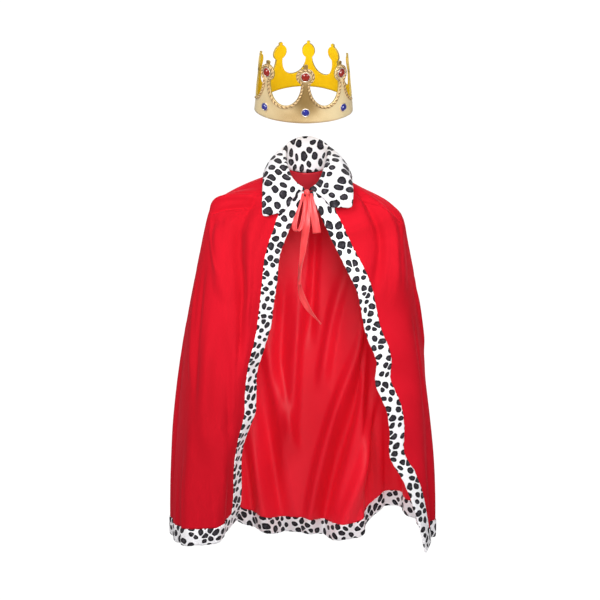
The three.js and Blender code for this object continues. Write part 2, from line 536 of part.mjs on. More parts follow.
const bandPoints = [];
const bandQuads = [];
const bandIndex = new Map();
function bandVertex(length, height) {
  const key = Math.round((((length % girth) + girth) % girth) * 50) % Math.round(girth * 50) + "," + Math.round(height * 50);
  if (!bandIndex.has(key)) bandIndex.set(key, bandPoints.push(crownPoint(length, height)) - 1);
  return bandIndex.get(key);
}
for (let spike = 0; spike < CROWN.spikes; spike += 1) {
  const grid = spikeRows(spikeHeight(spike)).map(({ height, half }) =>
    Array.from({ length: SPIKE_COLUMNS + 1 }, (_, c) => bandVertex(spike * pitch + half * ((2 * c) / SPIKE_COLUMNS - 1), height)),
  );
  for (let r = 0; r + 1 < grid.length; r += 1) {
    for (let c = 0; c < SPIKE_COLUMNS; c += 1) {
      bandQuads.push([grid[r][c], grid[r + 1][c], grid[r + 1][c + 1], grid[r][c + 1]]);
    }
  }
}
addPiece("crown_band", wallFrom(bandPoints, bandQuads, CROWN.wall / 2, CROWN.wall / 2), gold, crown);

// Gold cord along the scalloped edge of the three front spikes, on the outer face.
const PIPING = { width: 5, thick: 3.4, gap: 0.9 };
const outline = [];
for (const spike of [3, 4, 5]) {
  const rows = spikeRows(spikeHeight(spike)).slice(VALLEY_ROW, -NUB_ROWS);
  const side = (sign) => rows.map(({ height, half }) => ({ length: spike * pitch + sign * half, height }));
  outline.push(...side(-1).slice(outline.length ? 1 : 0), ...side(1).reverse());
}
const pipingOff = CROWN.wall / 2 + PIPING.gap + PIPING.thick / 2;
const pipingRows = outline.map((here, i) => {
  const last = outline[Math.max(0, i - 1)];
  const next = outline[Math.min(outline.length - 1, i + 1)];
  const run = new THREE.Vector2(next.length - last.length, next.height - last.height).normalize();
  return [0.2, PIPING.width].map((in_) => crownPoint(here.length + run.y * in_, here.height - run.x * in_, pipingOff));
});
addPiece("crown_piping", gridWall(pipingRows, PIPING.thick / 2, PIPING.thick / 2), goldCord, crown);

// Faceted gems in the heads of the front spikes and below them.
function gem(length, height, radius) {
  const rings = [
    { off: 0, radius }, { off: 1.4, radius }, { off: 4.2, radius: radius * 0.55 },
  ].map((ring) => ({ ...ring, off: ring.off + CROWN.wall / 2 + 0.6 }));
  const middle = crownPoint(length, height);
  const across = crownPoint(length + 1, height).sub(crownPoint(length - 1, height)).normalize();
  const up = crownPoint(length, height + 1).sub(middle).normalize();
  const out = crownPoint(length, height, 1).sub(middle).normalize();
  const sides = 10;
  const points = rings.flatMap((ring) =>
    Array.from({ length: sides }, (_, i) => {
      const angle = (2 * Math.PI * i) / sides;
      const at = middle.clone().addScaledVector(out, ring.off);
      return at.addScaledVector(across, ring.radius * Math.cos(angle)).addScaledVector(up, ring.radius * Math.sin(angle));
    }),
  );
  const index = [];
  for (let i = 0; i < sides; i += 1) {
    const next = (i + 1) % sides;
    for (let ring = 0; ring < 2; ring += 1) {
      const [a, b] = [ring * sides, (ring + 1) * sides];
      index.push(a + i, b + next, a + next, a + i, b + i, b + next);
    }
    if (i > 1) index.push(0, i - 1, i, 2 * sides, 2 * sides + i, 2 * sides + i - 1);
  }
  const geometry = new THREE.BufferGeometry();
  geometry.setAttribute("position", new THREE.Float32BufferAttribute(points.flatMap((v) => v.toArray()), 3));
  return geometry.setIndex(index);
}
const FRONT = { left: 5, middle: 4, right: 3 };
for (const [place, spike] of Object.entries(FRONT)) {
  addPiece("ruby_" + place, gem(spike * pitch, SPIKE.headAt * spikeHeight(spike), 8), ruby, crown);
  addPiece("sapphire_" + place, gem(spike * pitch, 21, 6.8), sapphire, crown);
}

export default costume;
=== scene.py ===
"""A child's king costume: a flared red velvet cape with a spotted plush collar and edging, tied with a satin ribbon
bow, and a soft gold crown above it. The helpers come first and the costume's parts one by one after them, each with
its tables, which are in millimetres."""
import math

import bpy
import numpy as np
from mathutils import Matrix, Vector, noise


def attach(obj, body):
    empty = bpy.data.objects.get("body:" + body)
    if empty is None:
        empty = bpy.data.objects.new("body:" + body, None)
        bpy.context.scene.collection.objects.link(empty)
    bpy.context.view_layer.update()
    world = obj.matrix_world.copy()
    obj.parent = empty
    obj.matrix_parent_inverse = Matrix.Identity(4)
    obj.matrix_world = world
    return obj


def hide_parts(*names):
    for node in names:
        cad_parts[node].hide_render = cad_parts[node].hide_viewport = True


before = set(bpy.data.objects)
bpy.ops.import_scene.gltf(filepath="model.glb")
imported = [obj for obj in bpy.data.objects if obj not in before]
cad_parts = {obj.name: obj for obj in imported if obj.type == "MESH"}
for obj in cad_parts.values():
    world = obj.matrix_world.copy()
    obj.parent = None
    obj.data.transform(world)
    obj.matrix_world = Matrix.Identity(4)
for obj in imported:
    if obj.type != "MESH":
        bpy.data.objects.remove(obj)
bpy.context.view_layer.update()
bpy.ops.object.select_all(action="DESELECT")
MM = 0.001

# Viewpoint: straight in front and about as high as the crown's top, looking slightly down on the costume's middle from
# four and a half metres, as in a catalogue picture.
VIEW_AIM = Vector((-0.0133, 0, -0.22565))
VIEW_ELEVATION = math.radians(6.5)
VIEW_DISTANCE = 4.5
bpy.ops.object.camera_add(
    location=VIEW_AIM + VIEW_DISTANCE * Vector((0, -math.cos(VIEW_ELEVATION), math.sin(VIEW_ELEVATION))),
    rotation=(math.pi / 2 - VIEW_ELEVATION, 0, 0),
)
viewpoint = bpy.context.object
viewpoint.data.lens = 142.1
viewpoint.data.clip_end = 60
bpy.context.scene.camera = viewpoint
bpy.context.scene.view_settings.view_transform = "Standard"


def sign_for(operation, swapped=False):
    """What an arithmetic sign does between a wire and another value; swapped where the wire stands behind it."""
    return lambda wire, other: wire.maths(operation, *((other, wire) if swapped else (wire, other)))


class Wire:
    """A value or a colour on its way through a finish. Arithmetic on it adds the nodes that work it out."""

    __add__ = __radd__ = sign_for("ADD")
    __mul__ = __rmul__ = sign_for("MULTIPLY")
    __sub__, __rsub__ = sign_for("SUBTRACT"), sign_for("SUBTRACT", True)
    __truediv__, __rtruediv__ = sign_for("DIVIDE"), sign_for("DIVIDE", True)
    __pow__ = sign_for("POWER")

    def __init__(self, finish, socket):
        self.finish, self.socket = finish, socket

    def maths(self, operation, *values):
        return self.finish.add("ShaderNodeMath", {"operation": operation}, *values)[0]

    def step(self, low, high):
        """0 below low, 1 above high and smooth in between; the other way round where high is below low."""
        settings = {"interpolation_type": "SMOOTHSTEP"}
        results = (0, 1) if low < high else (1, 0)
        return self.finish.add("ShaderNodeMapRange", settings, self, min(low, high), max(low, high), *results)[0]


class Finish:
    """The procedural finish of one kind of surface."""

    def __init__(self, name, **sockets):
        self.material = bpy.data.materials.new(name)
        self.material.use_nodes = True
        self.tree = self.material.node_tree
        self.shader = self.tree.nodes["Principled BSDF"]
        for socket, value in sockets.items():
            self.set(socket.replace("_", " ").title().replace("Ior", "IOR"), value)

    def set(self, socket, value):
        self.join(self.shader.inputs[socket], value)

    def join(self, socket, value):
        if isinstance(value, Wire):
            self.tree.links.new(value.socket, socket)
        else:
            socket.default_value = value

    def add(self, kind, settings, *values, **named):
        """Adds a node: its kind, its settings, then the values of its sockets in order or by name."""
        node = self.tree.nodes.new(kind)
        for key, value in settings.items():
            setattr(node, key, value)
        for i, value in enumerate(values):
            if value is not None:
                self.join(node.inputs[i], value)
        for key, value in named.items():
            self.join(node.inputs[key.replace("_", " ").title()], value)
        return [Wire(self, socket) for socket in node.outputs]

    def place(self, *scale):
        """The piece's own cloth coordinates in metres, as three numbers, times a scale."""
        found = self.add("ShaderNodeUVMap", {"uv_map": "Cloth"})[0]
        return self.add("ShaderNodeVectorMath", {"operation": "MULTIPLY"}, found, scale)[0]

    def body(self):
        """Where a point of the costume is, in metres."""
        return self.add("ShaderNodeTexCoord", {})[3]

    def parts(self, vector):
        """The x, y and z of a vector, one by one."""
        return self.add("ShaderNodeSeparateXYZ", {}, vector)

    def grain(self, scale, detail=2, rough=0.5, where=(1, 1, 0)):
        """Soft noise between 0 and 1; where is a place, or how much the cloth coordinates are scaled first."""
        where = where if isinstance(where, Wire) else self.place(*where)
        return self.add("ShaderNodeTexNoise", {}, where, scale=scale, detail=detail, roughness=rough)[0]

    def blend(self, share, first, second):
        """The first colour where share is 0, the second where it is 1."""
        settings = {"data_type": "RGBA"}
        colours = [value if isinstance(value, Wire) else (*value, 1) for value in (first, second)]
        return self.add("ShaderNodeMix", settings, share, None, None, None, None, None, *colours)[2]

    def colour(self, share, first, second):
        self.set("Base Color", self.blend(share, first, second))

    def bump(self, height, depth):
        self.set("Normal", self.add("ShaderNodeBump", {}, height=height, distance=depth)[0])


def through(places, values, at):
    """A smooth curve through a table: the values that stand at some places, read at any others."""
    places, values, at = (np.asarray(v, float) for v in (places, values, at))
    last = len(places) - 1
    low, high = np.maximum(np.arange(last + 1) - 1, 0), np.minimum(np.arange(last + 1) + 1, last)
    slopes = (values[high] - values[low]) / (places[high] - places[low])[:, None]
    i = np.clip(np.searchsorted(places, at) - 1, 0, last - 1)
    span = (places[i + 1] - places[i])[..., None]
    t = (at - places[i])[..., None] / span
    start = values[i] * (2 * t**3 - 3 * t**2 + 1) + slopes[i] * span * (t**3 - 2 * t**2 + t)
    return start + values[i + 1] * (3 * t**2 - 2 * t**3) + slopes[i + 1] * span * (t**3 - t**2)


def normalised(vectors):
    return vectors / np.linalg.norm(vectors, axis=-1, keepdims=True)


def run_of(grid, axis):
    """The length run through so far at each point of a grid, along one of its axes."""
    steps = np.linalg.norm(np.diff(grid, axis=axis), axis=-1)
    return np.insert(np.cumsum(steps, axis=axis), 0, 0, axis=axis)


def noise_at(*place):
    """Soft noise between -1 and 1 at places given by their three coordinates, which may be single or many."""
    place = np.stack(np.broadcast_arrays(*place), -1)
    return np.reshape([noise.noise(point) for point in place.reshape(-1, 3).tolist()], place.shape[:-1])


def normals_of(grid):
    """The directions that a grid of points faces, from its run along the rows and down the columns."""
    facing = np.cross(np.gradient(grid, axis=1), np.gradient(grid, axis=0))
    return facing / np.maximum(np.linalg.norm(facing, axis=2, keepdims=True), 1e-12)


def piece_of(name, points, faces, cloth, finishes, kinds):
    """A piece made from points and faces. cloth holds each point's place on the flat cloth, in metres, and kinds each
    face's finish: 0 for the outer face, 1 for the inner one and 2 for a rim with sharp edges."""
    mesh = bpy.data.meshes.new(name)
    mesh.from_pydata(points.tolist(), [], faces)
    corners = np.zeros(len(mesh.loops), np.int32)
    mesh.loops.foreach_get("vertex_index", corners)
    layer = mesh.uv_layers.new(name="Cloth")
    layer.data.foreach_set("uv", cloth[corners].astype(np.float32).ravel())
    for finish in finishes:
        mesh.materials.append(finish.material)
    mesh.polygons.foreach_set("material_index", kinds.astype(np.int32))
    mesh.polygons.foreach_set("use_smooth", kinds < 2)
    piece = bpy.data.objects.new(name, mesh)
    bpy.context.scene.collection.objects.link(piece)
    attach(piece, "root")
    return piece


def piece_of_cloth(name, grid, facing, outside, inside, cloth, finishes):
    """A closed wall round a grid of points: outside and inside are how far its two faces stand off the grid. The first
    finish is the outer face's; the second, if there is one, the inner face's."""
    rows, columns = grid.shape[:2]
    count = rows * columns
    outside, inside = (np.broadcast_to(np.asarray(v, float), (rows, columns))[..., None] for v in (outside, inside))
    points = np.concatenate([(grid + facing * outside).reshape(-1, 3), (grid - facing * inside).reshape(-1, 3)])
    index = np.arange(count).reshape(rows, columns)
    quads = np.stack([index[:-1, :-1], index[:-1, 1:], index[1:, 1:], index[1:, :-1]], -1).reshape(-1, 4)
    start = np.concatenate([index[0, :-1], index[:-1, -1], index[-1, :0:-1], index[:0:-1, 0]])
    end = np.concatenate([index[0, 1:], index[1:, -1], index[-1, -2::-1], index[-2::-1, 0]])
    rims = np.stack([end, start, start + count, end + count], -1)
    faces = np.concatenate([quads, quads[:, ::-1] + count, rims])
    kinds = np.zeros(len(faces))
    kinds[len(quads) : 2 * len(quads)] = len(finishes) - 1
    return piece_of(name, points, faces.tolist(), np.tile(cloth.reshape(-1, 2), (2, 1)), finishes, kinds)


# Ribbon bow: one length of 16 mm coral satin ribbon, tied at the throat in two drooping loops and two free tails cut
# off slantwise. The ribbon is gathered into pleats where the knot pinches it and opens flat further down.
RIBBON_WIDTH = 0.0158
RIBBON_THICK = 0.0005
RIBBON_ROWS, RIBBON_COLUMNS = 110, 19
# Pleats where the ribbon is gathered, the slow curl of its borders and the ripples of its open part: how deep, and how
# many across the width or radians a metre down the length.
PLEAT_DEPTH, PLEATS = 0.0021, 1.6
CURL_DEPTH, CURL_TURNS = 0.0009, 42
RIPPLE_DEPTH, RIPPLE_TURNS = 0.0007, 95
# Rows down a ribbon: x, y and z of its middle, its width as it lies, and how far it is turned from the viewer.
LOOP_LEFT = [
    (-7.5, -53.1, -19.2, 5, 45), (-11, -59.8, -33.1, 8, 50), (-16.5, -66.6, -50.1, 10, 52),
    (-21.5, -71.4, -67.2, 12, 52), (-24, -74, -79, 13, 52), (-22, -75.5, -86, 13, 52),
    (-17.5, -75.5, -88, 12, 48), (-12.5, -74.5, -83, 11, 42), (-8.8, -72.5, -70, 10, 36),
    (-6, -69, -52.3, 9, 34), (-5, -63, -36.3, 7, 40), (-4.6, -56.9, -25.1, 4, 45),
]
LOOP_RIGHT = [
    (7.3, -54.1, -19.2, 5, 20), (9, -57.8, -33.1, 9, 20), (11.5, -61.6, -50.1, 13, 22),
    (14.5, -64.9, -67.2, 15.5, 24), (17, -67, -82, 16, 26), (18, -66, -90.5, 16, 26),
    (17.5, -62.5, -92.5, 16, 26), (16.5, -59.5, -86, 16, 26), (14, -57, -69.3, 15, 24),
    (11, -53.6, -50.1, 12, 22), (8, -51.4, -34.1, 8, 20), (5.6, -50, -23.7, 4, 20),
]
TAIL_FRONT = [
    (0.6, -55.9, -22.3, 4.5, 0), (0.2, -59.1, -39.5, 9, 0), (-1.2, -62, -58.7, 14, 5),
    (-2.2, -62.9, -77.9, 15.5, 14), (-3.6, -62.5, -94, 15.5, 30), (-5.8, -62, -110, 15.5, 46),
    (-8.4, -61.5, -130, 15.5, 60), (-12, -61, -153, 15.5, 62), (-14, -61, -176, 15, 66), (-15, -61, -190, 8, 66),
]
TAIL_BACK = [
    (-0.6, -49.8, -21.5, 4.5, 0), (-0.8, -50.8, -42.7, 9, 5), (-1.6, -52, -69.3, 14, 20),
    (-4.5, -52, -98, 15.5, 40), (-8, -51, -126, 15.5, 56), (-12, -50, -154, 15.5, 63),
    (-14.4, -50, -178, 15.5, 66), (-13.4, -51, -196, 15.5, 64), (-9.8, -52, -211, 15.5, 52),
    (-4.6, -52, -224, 15.5, 42), (3, -52, -238, 15.5, 38), (14.5, -52, -252, 12, 48), (26, -52, -265, 3, 55),
]

coral_satin = Finish("coral_satin", roughness=0.36, sheen_weight=0.25, sheen_roughness=0.3)
threads = coral_satin.grain(1, 3, where=(1500, 60, 0))
# Painted highlight: soft streaks along the ribbon lighten its colour, as the satin's sheen would.
painted_sheen_streaks = coral_satin.grain(1, 2, where=(160, 22, 0))
off_middle = coral_satin.parts(coral_satin.place(1 / RIBBON_WIDTH, 1, 1))[0]
selvedge = off_middle.maths("ABSOLUTE", off_middle)
light_share = painted_sheen_streaks.step(0.25, 0.75) * 0.8 + threads * 0.2
coral_satin.colour(light_share, (0.75, 0.042, 0.05), (0.95, 0.105, 0.105))
coral_satin.bump(threads + selvedge.step(0.42, 0.47) * 2, 0.00012)


def bow_ribbon(node, table, seed):
    """One visible run of the ribbon along a table, made in place of its node's part, which is hidden."""
    rows = through(np.arange(len(table)), table, np.linspace(0, len(table) - 1, RIBBON_ROWS))
    middle, width, turn = rows[:, :3] * MM, rows[:, 3] * MM, np.radians(rows[:, 4])
    across = np.stack([np.cos(turn), -np.sin(turn), np.zeros(RIBBON_ROWS)], -1)
    down = run_of(middle, 0)
    over = np.cross(across, normalised(np.gradient(middle, axis=0)))
    side = np.linspace(-0.5, 0.5, RIBBON_COLUMNS)
    pinch = np.clip(1 - width / RIBBON_WIDTH, 0, 1)[:, None]
    pleats = PLEAT_DEPTH * pinch * np.cos(2 * math.pi * PLEATS * side + seed)
    curl = CURL_DEPTH * np.cos(math.pi * side + down[:, None] * CURL_TURNS + seed)
    ripple = RIPPLE_DEPTH * np.sin(down[:, None] * RIPPLE_TURNS + 3 * side + 2 * seed) * (1 - pinch)
    grid = middle[:, None] + across[:, None] * (width[:, None] * side)[..., None]
    grid = grid + over[:, None] * (pleats + curl + ripple)[..., None]
    cloth = np.stack(np.broadcast_arrays(side * RIBBON_WIDTH, down[:, None]), -1)
    half = RIBBON_THICK / 2
    piece = piece_of_cloth("satin_" + node, grid, normals_of(grid), half, half, cloth, [coral_satin])
    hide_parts(node)


bow_ribbon("bow_loop_left", LOOP_LEFT, 0.4)
bow_ribbon("bow_loop_right", LOOP_RIGHT, 2.1)
bow_ribbon("bow_tail_front", TAIL_FRONT, 1.2)
bow_ribbon("bow_tail_back", TAIL_BACK, 3.3)

# The knot: the same ribbon drawn tight round itself, so its face is pleated up and down and pinched at both ends.
KNOT_AT = (-0.0004, -0.054, -0.017)
KNOT_HALF = (0.0056, 0.0044, 0.0058)
KNOT_PLEATS, KNOT_PLEAT_DEPTH, KNOT_PINCH, KNOT_TILT = 7, 0.07, 0.05, math.radians(12)
KNOT_CLOTH = (0.03, 0.016)
bpy.ops.mesh.primitive_uv_sphere_add(segments=48, ring_count=24, radius=1, location=(0, 0, 0))
knot = bpy.context.object
knot.name = "bow_knot_wrap"
for point in knot.data.vertices:
    turn = math.atan2(point.co.y, point.co.x)
    pleat = 1 - KNOT_PLEAT_DEPTH * (0.5 + 0.5 * math.cos(KNOT_PLEATS * turn + 1.5 * point.co.z))
    pleat -= KNOT_PINCH * abs(point.co.z) ** 6
    x, y, z = point.co
    point.co = Vector((x * pleat * KNOT_HALF[0], y * pleat * KNOT_HALF[1], z * KNOT_HALF[2]))
knot.data.transform(Matrix.Translation(KNOT_AT) @ Matrix.Rotation(KNOT_TILT, 4, "X"))
knot.data.uv_layers[0].name = "Cloth"
for corner in knot.data.uv_layers[0].data:
    corner.uv = (corner.uv[0] * KNOT_CLOTH[0], corner.uv[1] * KNOT_CLOTH[1])
knot.data.materials.append(coral_satin.material)
bpy.ops.object.shade_smooth()
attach(knot, "root")
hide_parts("bow_knot")


# Cape: three panels of red velvet with a satin back, sewn at the sides and gathered into the neckline. It hangs from
# the shoulders in long uneven folds, open in front, so that the back panel's smooth inner face shows.
NECK_HALF_WIDTH, NECK_HALF_DEPTH, NECK_MIDDLE, NECK_TILT, NECK_SADDLE = 44, 47, 8, 15, -10
# Lines from neckline to hem, from one front edge round the back to the other: turn on the neckline, how it drops or
# spreads first, where it leaves the shoulder, how early it flares, and where it meets the hem.
HANG = np.array([
    (-173, 0, -55, -86, -138, -0.08, -139, -58, -638), (-150, 0.1, -88, -98, -108, 0.5, -172, -118, -668),
    (-125, -0.2, -145, -68, -68, 1.0, -222, -108, -676), (-100, -0.3, -180, -20, -46, 1.25, -250, -30, -678),
    (-75, -0.3, -172, 25, -48, 1.0, -237, 55, -662), (-50, -0.3, -125, 62, -70, 0.8, -180, 105, -656),
    (-28, -0.3, -65, 78, -90, 0.5, -118, 108, -684), (-10, -0.3, -22, 82, -96, 0.4, -62, 106, -699),
    (4, -0.3, 10, 82, -96, 0.3, -5, 112, -699), (24, -0.3, 48, 79, -94, 0.3, 54, 102, -709),
    (42, -0.3, 92, 72, -86, 0.3, 110, 86, -699), (50, -0.3, 113, 64, -82, 0.4, 130, 116, -661),
    (62, -0.15, 140, 50, -76, 0.6, 156, 121, -646), (80, -0.1, 170, 20, -63, 0.9, 206, 66, -655),
    (102, -0.1, 180, -20, -60, 1.1, 232, -2, -674), (130, -0.1, 150, -70, -100, 0.9, 235, -66, -676),
    (173, 0.05, 95, -92, -200, -0.3, 222, -114, -690),
])
# Folds: place round the cape and share of the drop where each starts and where it ends, how its path bows, its half
# width and its depth; a positive depth goes into the hollow.
FOLDS = [
    (0.125, 0.08, 0.078, 0.4, -0.012, 0.02, 5), (0.145, 0.09, 0.07, 0.52, -0.014, 0.022, 6),
    (0.12, 0.05, 0.24, 0.21, 0, 0.035, -6), (0.1, 0.075, 0.18, 0.25, 0, 0.03, 5),
    (0.165, 0.17, 0.1, 0.38, 0, 0.022, -5), (0.094, 0.4, 0.06, 0.76, 0, 0.019, 7),
    (0.117, 0.4, 0.095, 0.8, 0, 0.022, -8), (0.08, 0.68, 0.055, 1.3, 0, 0.024, -11),
    (0.13, 0.6, 0.12, 1.4, 0, 0.026, -8), (0.19, 0.72, 0.163, 1.3, 0, 0.024, -7),
    (0.235, 0.3, 0.228, 1.4, 0, 0.03, -10), (0.28, 0.25, 0.282, 1.4, 0, 0.03, 12),
    (0.325, 0.25, 0.335, 1.4, 0, 0.03, -15), (0.375, 0.25, 0.392, 1.4, 0, 0.028, 13),
    (0.415, 0.7, 0.452, 1.1, 0, 0.02, -9), (0.415, 0.66, 0.495, 1.15, 0, 0.024, 13),
    (0.43, 0.52, 0.53, 1.12, 0, 0.027, -15), (0.43, 0.42, 0.525, 0.8, 0, 0.024, 11),
    (0.474, 0.24, 0.478, 0.64, 0, 0.024, -9), (0.514, 0.24, 0.508, 0.8, 0, 0.024, 9),
    (0.557, 0.1, 0.543, 0.5, 0, 0.024, -9), (0.64, 0.24, 0.575, 0.62, -0.01, 0.024, 9),
    (0.705, 0.38, 0.555, 1.12, -0.045, 0.024, 14), (0.71, 0.42, 0.562, 1.16, -0.03, 0.028, -17),
    (0.74, 0.6, 0.575, 1.14, -0.01, 0.028, 13), (0.69, 0.55, 0.668, 1.5, 0, 0.024, -7),
    (0.735, 0.5, 0.712, 1.5, 0, 0.032, 12), (0.765, 0.3, 0.768, 1.4, 0, 0.028, -10),
    (0.81, 0.25, 0.808, 1.4, 0, 0.028, 12), (0.86, 0.35, 0.85, 1.4, 0, 0.028, 9),
    (0.875, 0.25, 0.892, 0.65, 0, 0.03, -5), (0.915, 0.5, 0.9, 1.4, 0, 0.028, -9),
    (0.94, 0.55, 0.945, 1.4, 0, 0.024, 8), (0.9, 0.05, 0.985, 0.32, 0.01, 0.02, 7),
    (0.87, 0.06, 0.955, 0.4, 0.01, 0.024, -6),
]
# Finer creases: the shoulder's drag lines, short gathers under the collar and flutes that run to the hem.
CREASES = [
    (0.1, 0.06, 0.215, 0.185, 0, 0.014, -6.5), (0.1, 0.085, 0.2, 0.22, 0, 0.013, 6.5),
    (0.205, 0.19, 0.108, 0.33, 0, 0.009, -3), (0.117, 0.07, 0.07, 0.46, -0.012, 0.012, -6),
    (0.137, 0.09, 0.064, 0.56, -0.014, 0.013, 8.5), (0.134, 0.055, 0.1, 0.25, -0.006, 0.012, 6.5),
    (0.114, 0.05, 0.083, 0.24, -0.006, 0.012, -4.5), (0.09, 0.42, 0.058, 0.7, 0, 0.011, -4),
    (0.106, 0.4, 0.092, 0.74, 0, 0.014, 6), (0.085, 0.75, 0.055, 1.1, 0, 0.014, 5),
    (0.2, 0.3, 0.14, 0.62, 0, 0.013, -4), (0.145, 0.75, 0.13, 1.05, 0, 0.008, -3),
    (0.165, 0.28, 0.125, 0.66, 0, 0.012, 4), (0.215, 0.5, 0.205, 0.92, 0, 0.012, 2.4),
    (0.18, 0.7, 0.176, 1.3, 0, 0.01, 2.4), (0.245, 0.4, 0.25, 0.8, 0, 0.011, 2),
    (0.26, 0.12, 0.256, 0.5, 0, 0.012, -3), (0.3, 0.08, 0.3, 0.42, 0, 0.012, 3),
    (0.305, 0.5, 0.309, 1.3, 0, 0.012, -3), (0.33, 0.06, 0.345, 0.3, 0, 0.011, -2.6),
    (0.36, 0.35, 0.362, 1.2, 0, 0.011, 2.6), (0.385, 0.08, 0.4, 0.4, 0, 0.012, -3),
    (0.41, 0.3, 0.408, 0.75, 0, 0.019, 1.5), (0.435, 0.1, 0.44, 0.4, 0, 0.024, 1.2),
    (0.43, 0.46, 0.515, 0.84, 0, 0.017, 2.5), (0.435, 0.58, 0.525, 1.12, 0, 0.02, -3.1),
    (0.42, 0.7, 0.488, 1.1, 0, 0.019, 2.5), (0.474, 0.28, 0.478, 0.56, 0, 0.019, -1.9),
    (0.513, 0.3, 0.507, 0.76, 0, 0.017, 2.5), (0.555, 0.12, 0.545, 0.46, 0, 0.02, -2.8),
    (0.534, 0.14, 0.528, 0.4, 0, 0.019, 1.6), (0.64, 0.28, 0.575, 0.6, -0.01, 0.019, 2.5),
    (0.705, 0.42, 0.556, 1.1, -0.045, 0.02, 3.1), (0.713, 0.46, 0.566, 1.12, -0.036, 0.02, -3.7),
    (0.74, 0.64, 0.58, 1.12, -0.01, 0.02, 2.8), (0.6, 0.1, 0.595, 0.34, 0, 0.024, 1.2),
    (0.66, 0.08, 0.668, 0.4, 0, 0.02, -1.6), (0.7, 0.1, 0.7, 0.44, 0, 0.02, 1.7),
    (0.725, 0.12, 0.73, 0.5, 0, 0.02, -1.9), (0.755, 0.08, 0.755, 0.4, 0, 0.012, 2.6),
    (0.785, 0.45, 0.79, 1.2, 0, 0.012, 2.6), (0.795, 0.1, 0.79, 0.4, 0, 0.011, -2.4),
    (0.83, 0.4, 0.835, 0.95, 0, 0.012, -2.4), (0.885, 0.055, 0.965, 0.38, 0.01, 0.012, -6.5),
    (0.905, 0.05, 0.985, 0.34, 0.008, 0.012, 7), (0.9, 0.34, 0.885, 0.56, 0, 0.01, -4),
    (0.88, 0.3, 0.865, 0.7, 0, 0.012, 3.5), (0.88, 0.55, 0.88, 1.2, 0, 0.011, 3), (0.93, 0.4, 0.94, 0.7, 0, 0.01, 3),
    (0.925, 0.72, 0.922, 1.3, 0, 0.01, -3.5), (0.85, 0.08, 0.93, 0.26, 0, 0.012, -3.5),
]
# How far the front edges stand outwards at a share of the drop: the drop, the left edge and the right one.
EDGE_STEPS = np.array([
    (0.18, 0, 0), (0.28, -5, 0), (0.35, -6, -1), (0.41, -7, 0), (0.48, -2, 8), (0.54, 4, -3), (0.61, 0, 5),
    (0.67, -5, 1), (0.74, 4, -11), (0.8, 7, 0), (0.86, 1, 5), (0.93, -6, 4), (1, -5, 0),
])
EDGE_REACH = 0.06
BREAK_SOFTNESS = 0.035
HEM_TOP = 0.958
EDGING = 0.029
SEAM_LAP = 0.0001
LEFT_SEAM, RIGHT_SEAM = (0.225, 0.245), (0.85, 0.79)
VELVET_THICK = 0.0014
PANEL_LENGTH = 0.7
SLACK_DEPTH = 1.3
# Half the widths of a seam's groove and of the puckered cloth beside it.
SEAM_WIDTHS = 0.0016, 0.006


def smooth(t):
    """0 up to 0, 1 from 1 on and smooth in between."""
    t = np.clip(t, 0, 1)
    return t * t * (3 - 2 * t)


def neck_line(turn):
    """The neckline, in millimetres, at a turn from the nape."""
    height = NECK_MIDDLE + NECK_TILT * np.cos(turn) + NECK_SADDLE * np.cos(2 * turn)
    return np.stack([NECK_HALF_WIDTH * np.sin(turn), NECK_HALF_DEPTH * np.cos(turn), height], -1)


def fold_height(table, around, drop):
    """How far the folds of a table move the cloth, over a row of places and a column of drops."""
    height = np.zeros((len(drop), len(around)))
    for start, start_drop, end, end_drop, bow, half, depth in table:
        t = (drop[:, None] - start_drop) / (end_drop - start_drop)
        off = (around - start - (end - start) * t - bow * 4 * t * (1 - t)) / half
        on = (t > 0) & (t < 1) & (np.abs(off) < 1)
        height += on * depth * (0.5 + 0.5 * np.cos(math.pi * off)) * smooth(t * 2.5) * smooth((1 - t) * 4)
    return height


AROUND_POINTS, VELVET_ROWS, HEM_ROWS = 1501, 176, 13
around = np.linspace(0, 1, AROUND_POINTS)
drops = np.concatenate([np.linspace(0, HEM_TOP, VELVET_ROWS), np.linspace(HEM_TOP + 0.001, 1, HEM_ROWS)])
hem_lengths = run_of(HANG[:, 6:9], 0)
hang = through(hem_lengths / hem_lengths[-1], HANG, around)
neck, shoulder, hem, bell = neck_line(np.radians(hang[:, 0])), hang[:, 2:5], hang[:, 6:9], hang[:, 5]
spread = (0.5 - 0.5 * hang[:, 1])[:, None] * (1, 1, -1) + (0, 0, 1)
bend = neck + (shoulder - neck) * spread
upper = np.linalg.norm(shoulder - neck, axis=1)
break_at = upper / (upper + np.linalg.norm(hem - shoulder, axis=1))

# The cloth at rest: each line falls from the neckline over the shoulder and on to the hem, rounded where it bends.
resting = np.zeros((len(drops), len(around), 3))
for weight, tap in zip((1, 2, 3, 2, 1), (-1, -0.5, 0, 0.5, 1)):
    drop = (drops + BREAK_SOFTNESS * tap)[:, None]
    t = (drop / break_at)[..., None]
    above = neck * (1 - t) ** 2 + bend * 2 * t * (1 - t) + shoulder * t**2
    t = (drop - break_at) / (1 - break_at)
    out = t + bell * t * (1 - t)
    below = shoulder + (hem - shoulder) * np.stack([out, out, t], -1)
    resting += weight / 9 * np.where((drop < break_at)[..., None], above, below)
steps = through(EDGE_STEPS[:, 0], EDGE_STEPS[:, 1:], drops) * (drops > EDGE_STEPS[0, 0])[:, None]
near = smooth(1 - np.minimum(around, 1 - around) / EDGE_REACH)
resting[..., 0] += near * np.where(around < 0.5, -steps[:, :1], steps[:, 1:])
resting *= MM
outwards = normals_of(resting)
sewn = resting - outwards * (MM * fold_height(FOLDS, around, drops))[..., None]
down = drops[:, None]
slack = noise_at(around * 17, down * 4, 3.7) + 0.4 * noise_at(around * 45, down * 9, 8.1)
finer = fold_height(CREASES, around, drops) + slack * smooth(down * 6) * SLACK_DEPTH
lengths = run_of(sewn, 1)
